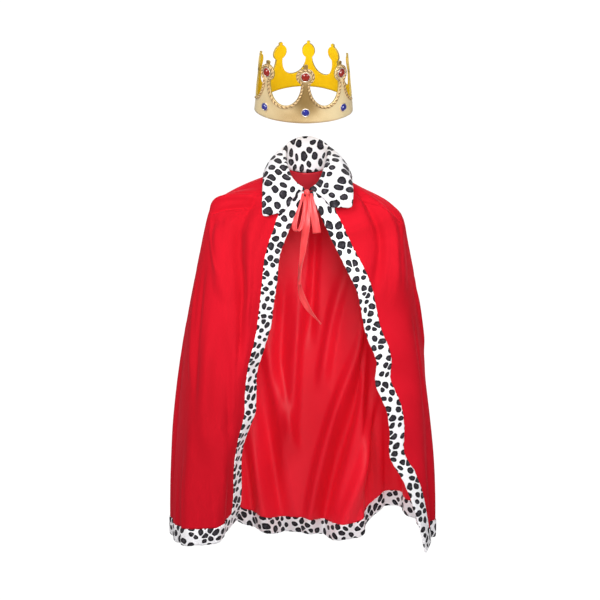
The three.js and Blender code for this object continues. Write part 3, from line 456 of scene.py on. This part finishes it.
for near_neck, near_hem in (LEFT_SEAM, RIGHT_SEAM):
    pucker = noise_at(down * 60, near_hem, 0.6)
    off = lengths - (near_neck + (near_hem - near_neck) * down) * lengths[:, -1:]
    groove, raised = (np.exp(-((off / width) ** 2)) for width in SEAM_WIDTHS)
    finer += (0.9 + 0.8 * pucker) * groove - (0.35 + 0.5 * pucker) * raised
cape = sewn - outwards * (MM * finer)[..., None]
cape_facing = normals_of(cape)
fall = run_of(sewn.mean(axis=1), 0)
fall *= PANEL_LENGTH / fall[-1]


def cut(start, end, columns, rows):
    """Cuts a piece from the cape: the cloth length along each row where it starts and ends. Gives the points, the way
    they face and their place on the flat cloth."""
    share = np.linspace(0, 1, columns)
    kept = []
    for r in rows:
        wanted = start(r) + (end(r) - start(r)) * share
        column = np.interp(wanted, lengths[r], np.arange(len(around)))
        low = np.minimum(column.astype(int), len(around) - 2)
        t = (column - low)[:, None]
        kept.append([source[r, low] * (1 - t) + source[r, low + 1] * t for source in (cape, cape_facing)] + [wanted])
    grid, facing, across = (np.array(part) for part in zip(*kept))
    return grid, normalised(facing), np.stack(np.broadcast_arrays(across, fall[list(rows)][:, None]), -1)


def seam(side):
    """Where a seam lies in each row, given its share of the way round at the neckline and at the hem."""
    return lambda r: (side[0] + (side[1] - side[0]) * drops[r]) * lengths[r, -1]


red_velvet = Finish(
    "red_velvet", roughness=0.8, specular_ior_level=0.1,
    sheen_weight=0.3, sheen_roughness=0.4, sheen_tint=(1.0, 0.08, 0.12, 1),
)
nap = red_velvet.grain(1, 3, where=(9, 3.2, 0))
brushed = red_velvet.grain(1, 3, 0.6, (60, 16, 0))
pile = red_velvet.grain(1900, 2, 0.7)
light_share = nap.step(0.3, 0.7) * 0.55 + brushed * 0.3 + pile * 0.15
red_velvet.colour(light_share, (0.46, 0.0025, 0.0105), (0.61, 0.005, 0.018))
red_velvet.set("Roughness", 0.7 + 0.16 * brushed)
red_velvet.bump(pile + brushed * 2, 0.00018)

# The satin back is darker near the neckline, as the photo has it: painted shade under the collar.
red_satin = Finish(
    "red_satin", roughness=0.46, specular_ior_level=0.22,
    sheen_weight=0.2, sheen_roughness=0.35, sheen_tint=(1.0, 0.2, 0.22, 1),
)
tone = red_satin.grain(1, 2, where=(7, 2.6, 0))
weft = red_satin.grain(1, 1, where=(700, 2600, 0))
warp = red_satin.grain(1, 1, where=(2600, 500, 0))
satin_red = red_satin.blend(tone.step(0.3, 0.72) * 0.75 + weft * 0.25, (0.72, 0.0065, 0.02), (0.92, 0.0135, 0.035))
# Painted shade: the satin's colour darkens towards the neckline.
painted_neck_shade = red_satin.parts(red_satin.place(1, 1, 1))[1].step(0.075, 0.03)
red_satin.colour(painted_neck_shade * 0.75, satin_red, (0.4, 0.022, 0.034))
red_satin.set("Roughness", 0.4 + 0.14 * weft)
red_satin.bump(warp + weft, 0.00009)

left_seam, right_seam = seam(LEFT_SEAM), seam(RIGHT_SEAM)
# Where each panel starts and ends, its columns, and the size and area of its cloth when flat. The back panel laps a
# little way over the others, so that no light comes through its seams.
PANELS = {
    "left": (lambda r: EDGING, left_seam, 100, (0.29, 0.68), 0.14),
    "back": (lambda r: left_seam(r) - SEAM_LAP, lambda r: right_seam(r) + SEAM_LAP, 236, (0.75, 0.70), 0.38),
    "right": (right_seam, lambda r: lengths[r, -1] - EDGING, 90, (0.25, 0.66), 0.105),
}
half = VELVET_THICK / 2
for name, (start, end, columns, flat, area) in PANELS.items():
    grid, facing, cloth = cut(start, end, columns, range(VELVET_ROWS))
    panel = piece_of_cloth("cape_panel_" + name, grid, facing, half, half, cloth, [red_velvet, red_satin])
    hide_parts("panel_" + name)


# Edging: a 29 mm band of thick white plush printed with black spots, sewn along the cape's front edges and hem, soft
# and round at its borders. It wavers a little where the sewing draws it in.
EDGING_HALF, COLLAR_HALF = 0.0023, 0.0019
PLUSH_ROUND = 0.0036
# The pile's two roughnesses: how deep, how close, and how their noise steps on from one face to the other.
PILE_FINE, PILE_COARSE, PILE_LIFT = (0.00022, 700, 9), (0.0004, 120, 5), 0.0001
BORDER_WAVER, FRONT_WAVER = 0.0009, 0.0011
LAP = 0.0008
# The print: how far it is turned on the cloth, how unevenly its spots stand, and the size and shift of its drifts.
PRINT_TURN, PRINT_LUCK, PRINT_DRIFTS = 0.5, 0.52, ((0.4, 0.45), (1.9, 0.09))
# Blacks from full to grey with painted sheen, and whites from full to shaded.
BLACKS = (0.004, 0.003, 0.005), (0.075, 0.068, 0.082)
WHITES = (0.94, 0.93, 0.95), (0.8, 0.775, 0.82)


def spotted_plush(name, cell, spot, ground):
    """White short-pile plush with irregular oval black spots, grey in their middles with painted sheen; cell is their
    usual distance, spot their size in it and ground how white the ground is."""
    plush = Finish(name, roughness=0.9, sheen_weight=0.08, sheen_roughness=0.5, specular_ior_level=0.06)
    turned, cells = {"rotation_type": "Z_AXIS"}, {"voronoi_dimensions": "2D"}
    where = plush.place(1 / cell, 1 / cell, 0)
    where = plush.add("ShaderNodeVectorRotate", turned, where, angle=PRINT_TURN)[0]
    for scale, size in PRINT_DRIFTS:
        drift = plush.add("ShaderNodeTexNoise", {"noise_dimensions": "2D"}, where, scale=scale, detail=1)[1]
        where = plush.add("ShaderNodeVectorMath", {"operation": "MULTIPLY_ADD"}, drift, (size, size, 0), where)[0]
    near, edges = (
        plush.add("ShaderNodeTexVoronoi", {**cells, "feature": feature}, where, scale=1, randomness=PRINT_LUCK)
        for feature in ("F1", "DISTANCE_TO_EDGE")
    )
    luck = plush.add("ShaderNodeSeparateColor", {}, near[1])
    away = plush.add("ShaderNodeVectorMath", {"operation": "SUBTRACT"}, where, near[2])[0]
    away = plush.parts(plush.add("ShaderNodeVectorRotate", turned, away, angle=luck[0] * math.pi)[0])
    long = spot * (0.74 + 0.46 * luck[1])
    slim = long * (0.68 + 0.3 * luck[2])
    reach = ((away[0] / long) ** 2 + (away[1] / slim) ** 2) ** 0.5
    hairs = plush.grain(1500, 2, 0.75)
    ragged = plush.grain(420, 2, 0.6)
    crowding = 0.05 / (edges[0] + 0.005)
    full = (reach**3 + crowding**3) ** 0.3333
    inked = (full + (ragged - 0.5) * 0.3).step(1.06, 0.92)
    # Painted sheen: the spots turn grey towards their middles.
    painted_sheen = 0.3 + 0.7 * plush.grain(170, 2).step(0.4, 0.75)
    shaded = hairs * 0.35 + plush.grain(60, 2).step(0.35, 0.7) * 0.25
    black = plush.blend(painted_sheen * reach.step(0.9, 0.3), *BLACKS)
    white = plush.blend(shaded, *(tuple(ground * v for v in tint) for tint in WHITES))
    plush.colour(inked, white, black)
    plush.set("Roughness", 0.95 - 0.35 * inked)
    plush.bump(hairs + ragged * 1.4 - inked * 0.35, 0.0006)
    return plush


def plush_strip(name, grid, facing, cloth, finish, seed, narrow, full, ends=(1, 1, 1, 1)):
    """A band of plush: full is half its thickness, and it is rounded towards the borders that ends names (first column,
    last column, first row, last row). Its two long borders waver across the narrow axis."""
    across = normalised(np.gradient(grid, axis=narrow))
    shapes = (1, -1), (-1, 1)
    side = np.linspace(-1, 1, grid.shape[narrow]).reshape(shapes[1 - narrow]) ** 5
    place = np.arange(grid.shape[1 - narrow]).reshape(shapes[narrow]) * 0.21
    waver = np.where(side < 0, *(noise_at(place, seed * 3 + k, 0.4) for k in (0, 7)))
    grid = grid + across * (BORDER_WAVER * side * (0.6 + 1.2 * waver))[..., None]
    along, down = run_of(grid, 1), run_of(grid, 0)
    edges = [along, along[:, -1:] - along, down, down[-1:] - down]
    border = np.minimum.reduce([edge if keep else np.full_like(edge, 1.0) for edge, keep in zip(edges, ends)])
    half = full * np.sqrt(1 - (1 - np.clip(border / PLUSH_ROUND, 0.004, 1)) ** 2)
    faces = []
    for side in (0, 1):
        fine, coarse = (
            depth * noise_at(cloth[..., 0] * close, cloth[..., 1] * close, seed + side * step)
            for depth, close, step in (PILE_FINE, PILE_COARSE)
        )
        faces.append(half + (fine + coarse) * (half / full) + PILE_LIFT)
    return piece_of_cloth(name, grid, facing, *faces, cloth, [finish])


def closer(grids, rows, columns):
    """The same piece on a closer grid."""
    found = []
    for grid in grids:
        for count in (rows, columns):
            at = np.linspace(0, len(grid) - 1, count)
            grid = through(np.arange(len(grid)), grid.reshape(len(grid), -1), at).reshape(count, *grid.shape[1:])
            grid = np.swapaxes(grid, 0, 1)
        found.append(grid)
    return found


edging_plush = spotted_plush("spotted_plush_edging", 0.0154, 0.45, 1.04)
FRONTS = {
    "left": (lambda r: 0, lambda r: EDGING + LAP),
    "right": (lambda r: lengths[r, -1] - EDGING - LAP, lambda r: lengths[r, -1]),
}
all_rows = [r for r in range(len(drops)) if r != VELVET_ROWS]
for name, (start, end) in FRONTS.items():
    seed = len(name)
    grid, facing, cloth = closer(cut(start, end, 12, all_rows), 470, 20)
    cloth[..., 0] -= cloth[..., :1, 0]
    place = cloth[:, :1, 1:]
    waver = noise_at(place * 34, 1.7, seed) + 0.5 * noise_at(place * 75, 5.2, seed)
    grid = grid + facing * FRONT_WAVER * waver * smooth(np.linspace(0, 12, len(waver)))[:, None, None]
    strip = plush_strip("edging_front_" + name, grid, facing, cloth + (0, seed), edging_plush, seed, 1, EDGING_HALF)
    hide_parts("front_edging_" + name)
for name, (start, end, columns, flat, area) in PANELS.items():
    seed = 4 + len(name)
    grid, facing, cloth = closer(cut(start, end, columns, range(VELVET_ROWS - 1, len(drops))), 20, int(columns * 2.1))
    cloth = cloth + (0, seed - 1)
    strip = plush_strip("edging_hem_" + name, grid, facing, cloth, edging_plush, seed, 0, EDGING_HALF, (0, 0, 1, 1))
    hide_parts("hem_edging_" + name)


# Collar: one doubled piece of the same plush, sewn into the neckline. It stands up round the nape, rolls over and
# falls to two broad corners in front. From one front edge to the other: the turn on the neckline, where the roll's
# crest is and where the outer edge falls to.
COLLAR = np.array([
    (-171, -6.6, -52.5, -10, -42, -70, -53), (-152, -19, -48, -2, -62, -75, -56),
    (-130, -31, -36, 11, -82, -75, -58), (-105, -40, -14, 33, -83, -54, -22), (-80, -43, 8, 50, -82, -22, 6),
    (-55, -41, 29, 63, -80, 14, 12), (-30, -28, 44, 74, -57, 54, 6), (-10, -10, 52, 80, -21, 76, 3),
    (10, 10, 52, 80, 21, 76, 2), (30, 28, 44, 73, 58, 54, 5), (55, 41, 29, 62, 82, 16, 8),
    (80, 41, 8, 48, 84, -18, 1), (105, 37, -14, 32, 86, -44, -20), (130, 29, -34, 12, 83, -61, -42),
    (152, 19, -46, -2, 63, -68, -44), (171, 6.6, -52.5, -10, 44, -66, -44),
])
ROLL_HALF, ROLL_DROP = 3, 3.5
COLLAR_ROWS, COLLAR_COLUMNS = 61, 190
# Its flat form is worked out on every sixth row and seventh column, in this many rounds, each pulling this hard.
COARSE_ROW, COARSE_COLUMN, FLAT_ROUNDS, FLAT_PULL = 6, 7, 2500, 1.3


def laid_flat(along, down, slant):
    """Where a grid's points lie once the shaped piece is pressed flat, with its lengths kept as well as they can be:
    along and down are the lengths along its rows and columns, slant the cosine between the two in each cell."""
    wide, high = np.diff(along, axis=1), np.diff(down, axis=0)
    w, h = (wide[1:] + wide[:-1]) / 2, (high[:, 1:] + high[:, :-1]) / 2
    falling, rising = (np.sqrt(w**2 + h**2 + 2 * sign * w * h * slant) for sign in (1, -1))
    index = np.arange(along.size).reshape(along.shape)
    ties = (
        (index[:, :-1], index[:, 1:], wide), (index[:-1], index[1:], high),
        (index[:-1, :-1], index[1:, 1:], falling), (index[:-1, 1:], index[1:, :-1], rising),
    )
    first, second, wanted = (np.concatenate([tie[k].ravel() for tie in ties]) for k in range(3))
    pull = np.eye(along.size)[first] - np.eye(along.size)[second]
    share = FLAT_PULL / np.abs(pull).sum(0)[:, None]
    flat = np.stack([along, down], -1).reshape(-1, 2)
    for _ in range(FLAT_ROUNDS):
        gap = pull @ flat
        long = np.linalg.norm(gap, axis=1)
        flat = flat - share * (pull.T @ (gap * ((long - wanted) / long / 2)[:, None]))
    return flat.reshape(*along.shape, 2)


at = np.linspace(0, len(COLLAR) - 1, COLLAR_COLUMNS)
line = through(np.arange(len(COLLAR)), COLLAR, at)
end = np.minimum(at, len(COLLAR) - 1 - at)
sewn_to = neck_line(np.radians(line[:, 0])) + np.stack([0 * at, 0 * at, 3.8 - 1.8 * smooth(end / 3)], -1)
roll, outer = line[:, 1:4], line[:, 4:7]
out = normalised((outer - roll) * (1, 1, 0))
inside, outside = (roll + sign * out * ROLL_HALF - (0, 0, ROLL_DROP) for sign in (-1, 1))
broad = (0.62 + 0.1 * smooth(end / 4))[:, None]
bend = outside + (outer - outside) * np.concatenate([broad, broad, 0.95 - broad], axis=1)
profile = [sewn_to, (sewn_to + inside) / 2, inside, roll, outside]
profile += [outside * (1 - t) ** 2 + bend * 2 * t * (1 - t) + outer * t**2 for t in (0.12, 0.28, 0.46, 0.64, 0.82, 1)]
count = len(profile)
grid = through(np.arange(count), np.array(profile).reshape(count, -1), np.linspace(0, count - 1, COLLAR_ROWS))
grid = grid.reshape(COLLAR_ROWS, COLLAR_COLUMNS, 3) * MM
down, along = run_of(grid, 0), run_of(grid, 1)
along -= along[:, COLLAR_COLUMNS // 2][:, None]
slant = (normalised(np.gradient(grid, axis=1)) * normalised(np.gradient(grid, axis=0))).sum(-1)
slant = slant[COARSE_ROW // 2 :: COARSE_ROW, COARSE_COLUMN // 2 :: COARSE_COLUMN]
flat = laid_flat(along[::COARSE_ROW, ::COARSE_COLUMN], down[::COARSE_ROW, ::COARSE_COLUMN], slant)
(cloth,) = closer([flat], COLLAR_ROWS, COLLAR_COLUMNS)
# The collar's white ground is darker than the edging's, though it is the same plush: painted shade.
collar_plush = spotted_plush("spotted_plush_collar", 0.0195, 0.455, 0.88)
collar = plush_strip("collar_fold", grid, normals_of(grid), cloth, collar_plush, 31, 0, COLLAR_HALF)
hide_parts("collar")


# Crown: a soft band of yellow felt faced with champagne gold lame, cut into eight round-headed spikes and closed to a
# ring. It stands apart above the cape, tipped towards the viewer.
CROWN_HALF_WIDTH, CROWN_FRONT, CROWN_BACK, SPIKES, CROWN_WALL = 91.2, 66, 108, 8, 3.4
CROWN_AT = np.array((-6.6, 0, 137))
CROWN_TIP, CROWN_YAW = math.radians(22), math.radians(3.5)
# How far each spike is cut round the ring from its even place, from the back one round to the back one again.
SPIKE_SHIFTS = np.array([[5.7], [1], [0], [-13.5], [-7.6], [4.5], [0], [4.3], [5.7]])
SPIKE_HEIGHT, SPIKE_LOSS = 108.5, 4.5
VALLEY, NECK_HALF, HEAD_RADIUS, HEAD_AT, NUB_HALF = 31, 7.6, 16, 0.795, 3.7
VALLEY_ROWS, NUB = 9, ((0.25, 3.6), (0.5, 4.4), (0.8, 4.0), (1, 2.4))
# How far the wall leans inwards in front and how much more at the back, in degrees.
LEAN, LEAN_MORE = 5, 7
tipped = np.array(Matrix.Rotation(CROWN_TIP, 3, "X") @ Matrix.Rotation(-CROWN_YAW, 3, "Z"))


def ring_plan(turn):
    """The crown's foot, in millimetres, at a turn from its back."""
    depth = np.where(np.cos(turn) > 0, CROWN_BACK, CROWN_FRONT)
    return np.stack([CROWN_HALF_WIDTH * np.sin(turn), depth * np.cos(turn), 0 * turn], -1)


plan_turns = np.linspace(0, 2 * math.pi, 1441)
plan_lengths = run_of(ring_plan(plan_turns), 0)
girth = plan_lengths[-1]
pitch = girth / SPIKES


def crown_points(length, height, off):
    """Places on the crown: length round the ring from the back, height up its leaning wall, and how far off it."""
    length, height, off = np.broadcast_arrays(*(np.asarray(v, float) for v in (length, height, off)))
    even = np.mod(length, girth)
    even = even + through(np.arange(SPIKES + 1), SPIKE_SHIFTS, even / pitch)[..., 0]
    turn = np.interp(np.mod(even, girth), plan_lengths, plan_turns)
    foot = ring_plan(turn)
    along = normalised(ring_plan(turn + 0.01) - ring_plan(turn - 0.01))
    lean = np.radians(LEAN + LEAN_MORE * np.maximum(0, np.cos(turn)) ** 2)[..., None]
    inwards = np.stack([-along[..., 1], along[..., 0], 0 * turn], -1) * np.sin(lean)
    inwards *= -np.sign((inwards * foot).sum(-1, keepdims=True))
    up = inwards + np.cos(lean) * (0, 0, 1)
    normal = np.cross(along, up)
    normal *= np.sign((normal * foot).sum(-1, keepdims=True))
    return ((foot + up * height[..., None] + normal * off[..., None]) @ tipped.T + CROWN_AT) * MM


def spike_outline(total):
    """One spike's outline: rows of height and half width, from the lower edge to the nub on its head."""
    head = HEAD_AT * total
    neck_top = head - math.sqrt(HEAD_RADIUS**2 - NECK_HALF**2)
    rows = [(h, pitch / 2) for h in np.linspace(0, VALLEY, VALLEY_ROWS)]
    for t in np.linspace(0, 1, 17)[1:] ** 1.5:
        in_by = math.sqrt(1 - (1 - t) ** 2) * (pitch / 2 - NECK_HALF)
        rows.append((VALLEY + (neck_top - VALLEY) * t, pitch / 2 - in_by))
    first, last = -math.asin((head - neck_top) / HEAD_RADIUS), math.acos(NUB_HALF / HEAD_RADIUS)
    for angle in np.linspace(first, last, 17)[1:]:
        rows.append((head + HEAD_RADIUS * math.sin(angle), HEAD_RADIUS * math.cos(angle)))
    shoulder_at = rows[-1][0]
    return rows + [(shoulder_at + (total - shoulder_at) * t, half) for t, half in NUB]


def spike_height(spike):
    """The full height of a spike; those in front are a little higher."""
    return SPIKE_HEIGHT - SPIKE_LOSS * math.cos(2 * math.pi * spike / SPIKES)


# The lame is browner on the nubs. It is browner in the middle of the front too, which is painted shade, and
# lighter to both sides, which is painted light, as the photo has it.
gold_lame = Finish("gold_lame", roughness=0.42, metallic=0.35, sheen_weight=0.2, sheen_roughness=0.4)
weave_u = gold_lame.grain(1, 1, where=(1600, 260, 0))
weave_v = gold_lame.grain(1, 1, where=(260, 1600, 0))
glint = gold_lame.grain(900, 2, 0.8)
shade = gold_lame.grain(22, 2)
light_share = shade.step(0.3, 0.75) * 0.6 + glint.step(0.35, 0.7) * 0.4
gold = gold_lame.blend(light_share, (0.47, 0.31, 0.13), (0.78, 0.6, 0.33))
around_at, height_at, _ = gold_lame.parts(gold_lame.place(1, 1, 0))
from_middle = (around_at - 4 * pitch * MM) / 0.032
# Painted shade: a brown patch on the middle front spike.
painted_middle_shade = 1 - (from_middle * from_middle + ((height_at - 0.05) / 0.045) ** 2).step(0, 1)
nubs = (height_at - 0.101).step(0, 0.006)
# Painted light: the gold is lighter to both sides of the front.
sides = (around_at - 3.85 * pitch * MM).step(0, -0.05) * 0.65 + (around_at - 4.4 * pitch * MM).step(0, 0.05) * 0.5
gold_with_painted_side_light = gold_lame.blend(sides, gold, (1, 0.84, 0.5))
gold_lame.colour(painted_middle_shade + nubs, gold_with_painted_side_light, (0.24, 0.145, 0.04))
gold_lame.set("Roughness", 0.3 + 0.3 * weave_u)
gold_lame.bump(weave_u + weave_v + glint, 0.00016)

yellow_felt = Finish(
    "yellow_felt", roughness=0.95, specular_ior_level=0.03,
    sheen_weight=0.1, sheen_roughness=0.5, sheen_tint=(1, 0.7, 0.1, 1),
)
fibres = yellow_felt.grain(800, 4, 0.75)
blotch = yellow_felt.grain(45, 2)
yellow_felt.colour(fibres * 0.5 + blotch * 0.5, (0.74, 0.42, 0.004), (0.92, 0.62, 0.012))
yellow_felt.bump(fibres + blotch, 0.0004)
cut_edge = Finish("cut_edge", roughness=0.7)
cut_edge.colour(cut_edge.grain(500, 3), (0.2, 0.13, 0.02), (0.5, 0.36, 0.08))

# The spikes are flat patterns joined edge to edge, so the ring is made of their points: two walls and a cut rim.
places, quads, known = [], [], {}


def crown_corner(length, height):
    """The number of the point at a place on the flat pattern; spikes share the points that meet."""
    key = (round((length % girth) * 50) % round(girth * 50), round(height * 50))
    if key not in known:
        known[key] = len(places)
        places.append((length * MM, height * MM))
    return known[key]


for spike in range(SPIKES):
    rows = [
        [crown_corner(spike * pitch + half * side, height) for side in np.linspace(-1, 1, 17)]
        for height, half in spike_outline(spike_height(spike))
    ]
    quads += [(a, b, c, d) for low, high in zip(rows, rows[1:]) for a, b, c, d in zip(low, high, high[1:], low[1:])]
places = np.array(places)
soft = noise_at(*places.T * 30, 2.2) * 0.7
walls = [crown_points(*places.T / MM, side * CROWN_WALL / 2 + soft) for side in (1, -1)]
directed = {(a, b) for quad in quads for a, b in zip(quad, quad[1:] + quad[:1])}
count = len(places)
faces = quads + [tuple(i + count for i in quad[::-1]) for quad in quads]
faces += [(b, a, a + count, b + count) for a, b in directed if (b, a) not in directed]
finishes, kinds = [gold_lame, yellow_felt, cut_edge], np.arange(len(faces)) // len(quads)
crown = piece_of("crown_ring", np.concatenate(walls), faces, np.tile(places, (2, 1)), finishes, kinds)
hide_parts("crown_band")


# Piping: a cord of three gold and brown strands twisted together, sewn round the edge of the three front spikes.
STRAND_RADIUS, STRAND_TWIST, STRAND_SIDES, STRAND_STEP = 1.05, 7, 7, 0.85
STRANDS, STRAND_OFF = "abc", STRAND_RADIUS * 1.05
STRAND_CLOTH = 0.0009
CORD_IN, CORD_OFF = 2.4, CROWN_WALL / 2 + 1.9
FRONT_SPIKES = 3, 4, 5


def metal_thread(name, roughness, metallic, dark, light):
    """A glossy thread with slanting bands, as fine filaments wound round it give."""
    thread = Finish(name, roughness=roughness, metallic=metallic)
    bands = {"wave_type": "BANDS", "bands_direction": "DIAGONAL"}
    lay = thread.add("ShaderNodeTexWave", bands, thread.place(1, 1, 0), scale=520, distortion=1.5)[1]
    thread.colour(lay, dark, light)
    thread.bump(lay, 0.0002)
    return thread


gold_thread = metal_thread("gold_thread", 0.45, 0.45, (0.5, 0.31, 0.11), (0.86, 0.66, 0.38))
brown_thread = metal_thread("brown_thread", 0.6, 0.2, (0.15, 0.08, 0.027), (0.32, 0.19, 0.075))
outline = []
for spike in FRONT_SPIKES:
    rows = spike_outline(spike_height(spike))[VALLEY_ROWS - 1 : -len(NUB)]
    sides = [[(spike * pitch + sign * half, height) for height, half in rows] for sign in (-1, 1)]
    outline += sides[0][1 if outline else 0 :] + sides[1][::-1]
outline = np.array(outline)
run = normalised(np.gradient(outline, axis=0))
outline = outline + np.stack([run[:, 1], -run[:, 0]], -1) * CORD_IN
length = run_of(outline, 0)
even = np.linspace(0, length[-1], int(length[-1] / STRAND_STEP))
outline = np.stack([np.interp(even, length, outline[:, i]) for i in (0, 1)], -1)
kernel = np.ones(7) / 7
outline[3:-3] = np.stack([np.convolve(outline[:, i], kernel, "valid") for i in (0, 1)], -1)
run = normalised(np.gradient(outline, axis=0))
for strand, letter in enumerate(STRANDS):
    phase = 2 * math.pi * (even / STRAND_TWIST + strand / len(STRANDS))
    aside = np.stack([run[:, 1], -run[:, 0]]) * STRAND_OFF * np.cos(phase)
    core = crown_points(*outline.T + aside, CORD_OFF + STRAND_OFF * np.sin(phase))
    forward = normalised(np.gradient(core, axis=0))
    over = crown_points(*outline.T, 10) - crown_points(*outline.T, 0)
    over = normalised(over - forward * (over * forward).sum(1, keepdims=True))
    beside = np.cross(forward, over)
    angles = np.linspace(0, 2 * math.pi, STRAND_SIDES, endpoint=False)[:, None]
    tube = core[:, None] + STRAND_RADIUS * MM * (over[:, None] * np.cos(angles) + beside[:, None] * np.sin(angles))
    index = np.arange(len(core) * STRAND_SIDES).reshape(-1, STRAND_SIDES)
    beyond = np.roll(index, -1, axis=1)
    quads = np.stack([index[:-1], beyond[:-1], beyond[1:], index[1:]], -1).reshape(-1, 4)
    faces = quads.tolist() + [index[0, ::-1].tolist(), index[-1].tolist()]
    cloth = np.stack(np.broadcast_arrays(np.arange(STRAND_SIDES) * STRAND_CLOTH, even[:, None] * MM), -1)
    finish = brown_thread if letter == "b" else gold_thread
    kinds = np.zeros(len(faces))
    piece = piece_of("piping_strand_" + letter, tube.reshape(-1, 3), faces, cloth.reshape(-1, 2), [finish], kinds)
    if letter == "a":
        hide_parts("crown_piping")


# Jewels: faceted acrylic stones in pale metal settings, a red one in each front head and a blue one below it.
STONE_SIDES, STONE_TOP, STONE_DEPTH, STONE_MIDDLE, STONE_GIRDLE, STONE_OFF = 12, 0.58, 2.9, 2.75, 1.2, 0.5
SETTING_OUT, SETTING_HALF, SETTING_MIDDLE = 0.55, 0.85, 0.6


def stone(name, node, length, height, radius, finish):
    """A stone and its setting, made flat at the origin and then laid on the crown at a length round it and a height."""
    steps = np.array([(0, 0, 0), (1, 0, 0), (0, 1, 0), (0, 0, 1)])
    middle, *ends = crown_points(length + steps[:, 0], height + steps[:, 1], steps[:, 2])
    axes = [Vector(end - middle).normalized() for end in ends]
    frame_of = Matrix(axes).transposed().to_4x4()
    frame_of.translation = Vector(middle) + axes[2] * (CROWN_WALL / 2 + STONE_OFF) * MM
    bpy.ops.mesh.primitive_cone_add(
        vertices=STONE_SIDES, radius1=radius * MM, radius2=radius * STONE_TOP * MM,
        depth=STONE_DEPTH * MM, location=(0, 0, STONE_MIDDLE * MM),
    )
    gem = bpy.context.object
    gem.name = name
    bpy.ops.object.transform_apply(location=True, rotation=True, scale=True)
    bpy.ops.object.mode_set(mode="EDIT")
    bpy.ops.mesh.select_all(action="DESELECT")
    bpy.ops.object.mode_set(mode="OBJECT")
    for face in gem.data.polygons:
        face.select = face.normal.z < -0.9
    bpy.ops.object.mode_set(mode="EDIT")
    bpy.ops.mesh.extrude_region_move(TRANSFORM_OT_translate={"value": (0, 0, -STONE_GIRDLE * MM)})
    bpy.ops.object.mode_set(mode="OBJECT")
    # The upper facets are turned by half a side against the girdle, which makes them triangles.
    for point in gem.data.vertices:
        if point.co.z > STONE_MIDDLE * MM and math.hypot(point.co.x, point.co.y) > 0:
            point.co.xy = Matrix.Rotation(math.pi / STONE_SIDES, 2) @ point.co.xy
    bpy.ops.object.mode_set(mode="EDIT")
    bpy.ops.mesh.select_all(action="SELECT")
    bpy.ops.mesh.quads_convert_to_tris(quad_method="BEAUTY", ngon_method="BEAUTY")
    bpy.ops.object.mode_set(mode="OBJECT")
    gem.data.transform(frame_of)
    gem.data.materials.append(finish.material)
    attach(gem, "root")
    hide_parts(node)
    bpy.ops.mesh.primitive_torus_add(
        major_segments=40, minor_segments=10, major_radius=(radius + SETTING_OUT) * MM,
        minor_radius=SETTING_HALF * MM, location=(0, 0, SETTING_MIDDLE * MM),
    )
    setting = bpy.context.object
    setting.name = name + "_setting"
    bpy.ops.object.transform_apply(location=True, rotation=True, scale=True)
    bpy.ops.object.shade_smooth()
    setting.data.transform(frame_of)
    setting.data.materials.append(pale_metal.material)
    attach(setting, "root")


def acrylic(name, dark, light):
    """Coloured clear plastic, glossy and dark inside, with paler flaws."""
    plastic = Finish(name, roughness=0.06, coat_weight=0.6, coat_roughness=0.03, ior=1.49)
    plastic.colour(plastic.grain(260, where=plastic.body()), dark, light)
    return plastic


pale_metal = Finish("pale_metal", roughness=0.28, metallic=0.75)
brushing = pale_metal.grain(700, where=pale_metal.body())
pale_metal.colour(brushing, (0.66, 0.57, 0.45), (0.92, 0.87, 0.79))
pale_metal.set("Roughness", 0.2 + 0.25 * brushing)
red_acrylic = acrylic("red_acrylic", (0.12, 0.004, 0.004), (0.34, 0.02, 0.009))
blue_acrylic = acrylic("blue_acrylic", (0.008, 0.009, 0.09), (0.03, 0.035, 0.32))
for place, spike in zip(("left", "middle", "right"), FRONT_SPIKES[::-1]):
    in_head = HEAD_AT * spike_height(spike)
    stone("red_stone_" + place, "ruby_" + place, spike * pitch, in_head, 8, red_acrylic)
    stone("blue_stone_" + place, "sapphire_" + place, spike * pitch, 21, 6.8, blue_acrylic)


# Studio: a plain pale floor well below the hem and soft light from the front, stronger from the upper left.
bpy.ops.mesh.primitive_plane_add(size=4, location=(0, 0, -1.5))
floor = bpy.context.object
floor.name = "studio_floor"
paper = Finish("pale_paper", roughness=0.9, specular_ior_level=0.1)
paper.colour(paper.grain(3, where=paper.body()), (0.9, 0.9, 0.9), (0.93, 0.93, 0.93))
floor.data.materials.append(paper.material)
# Where each light is, its size, its power, how wide it spreads and the point it is turned to.
LIGHTS = (
    ("key_light", (-1.3, -1.4, 1.35), 1, 34, 180, (0, 0, -0.1)),
    ("front_light", (0.2, -1.9, 0.4), 1, 8.6, 80, (0, 0, 0.2)),
    ("fill_light", (1.4, -1.3, 0.9), 1, 9, 180, (0, 0, 0)),
    ("back_light", (0.6, 3, 1.8), 2, 60, 180, (0, 0, -0.2)),
)
for name, at, size, power, spread, aim in LIGHTS:
    bpy.ops.object.light_add(type="AREA", location=at)
    lamp = bpy.context.object
    lamp.name = name
    lamp.data.size, lamp.data.energy, lamp.data.spread = size, power, math.radians(spread)
    lamp.rotation_euler = (Vector(aim) - Vector(at)).to_track_quat("-Z", "Y").to_euler()
# The white surroundings light the costume only a little, but are seen bright behind it.
SKY_LIGHT, SKY_SEEN = 0.24, 0.82
sky = bpy.data.worlds.new("studio_white")
bpy.context.scene.world = sky
sky.use_nodes = True
sky.node_tree.nodes["Background"].inputs["Color"].default_value = (1, 1, 1, 1)
backdrop = sky.node_tree.nodes["Background"].inputs["Strength"]
seen = sky.node_tree.nodes.new("ShaderNodeLightPath").outputs["Is Camera Ray"]
brighter = sky.node_tree.nodes.new("ShaderNodeMath")
brighter.operation = "MULTIPLY_ADD"
brighter.inputs[1].default_value, brighter.inputs[2].default_value = SKY_SEEN, SKY_LIGHT
sky.node_tree.links.new(seen, brighter.inputs[0])
sky.node_tree.links.new(brighter.outputs[0], backdrop)
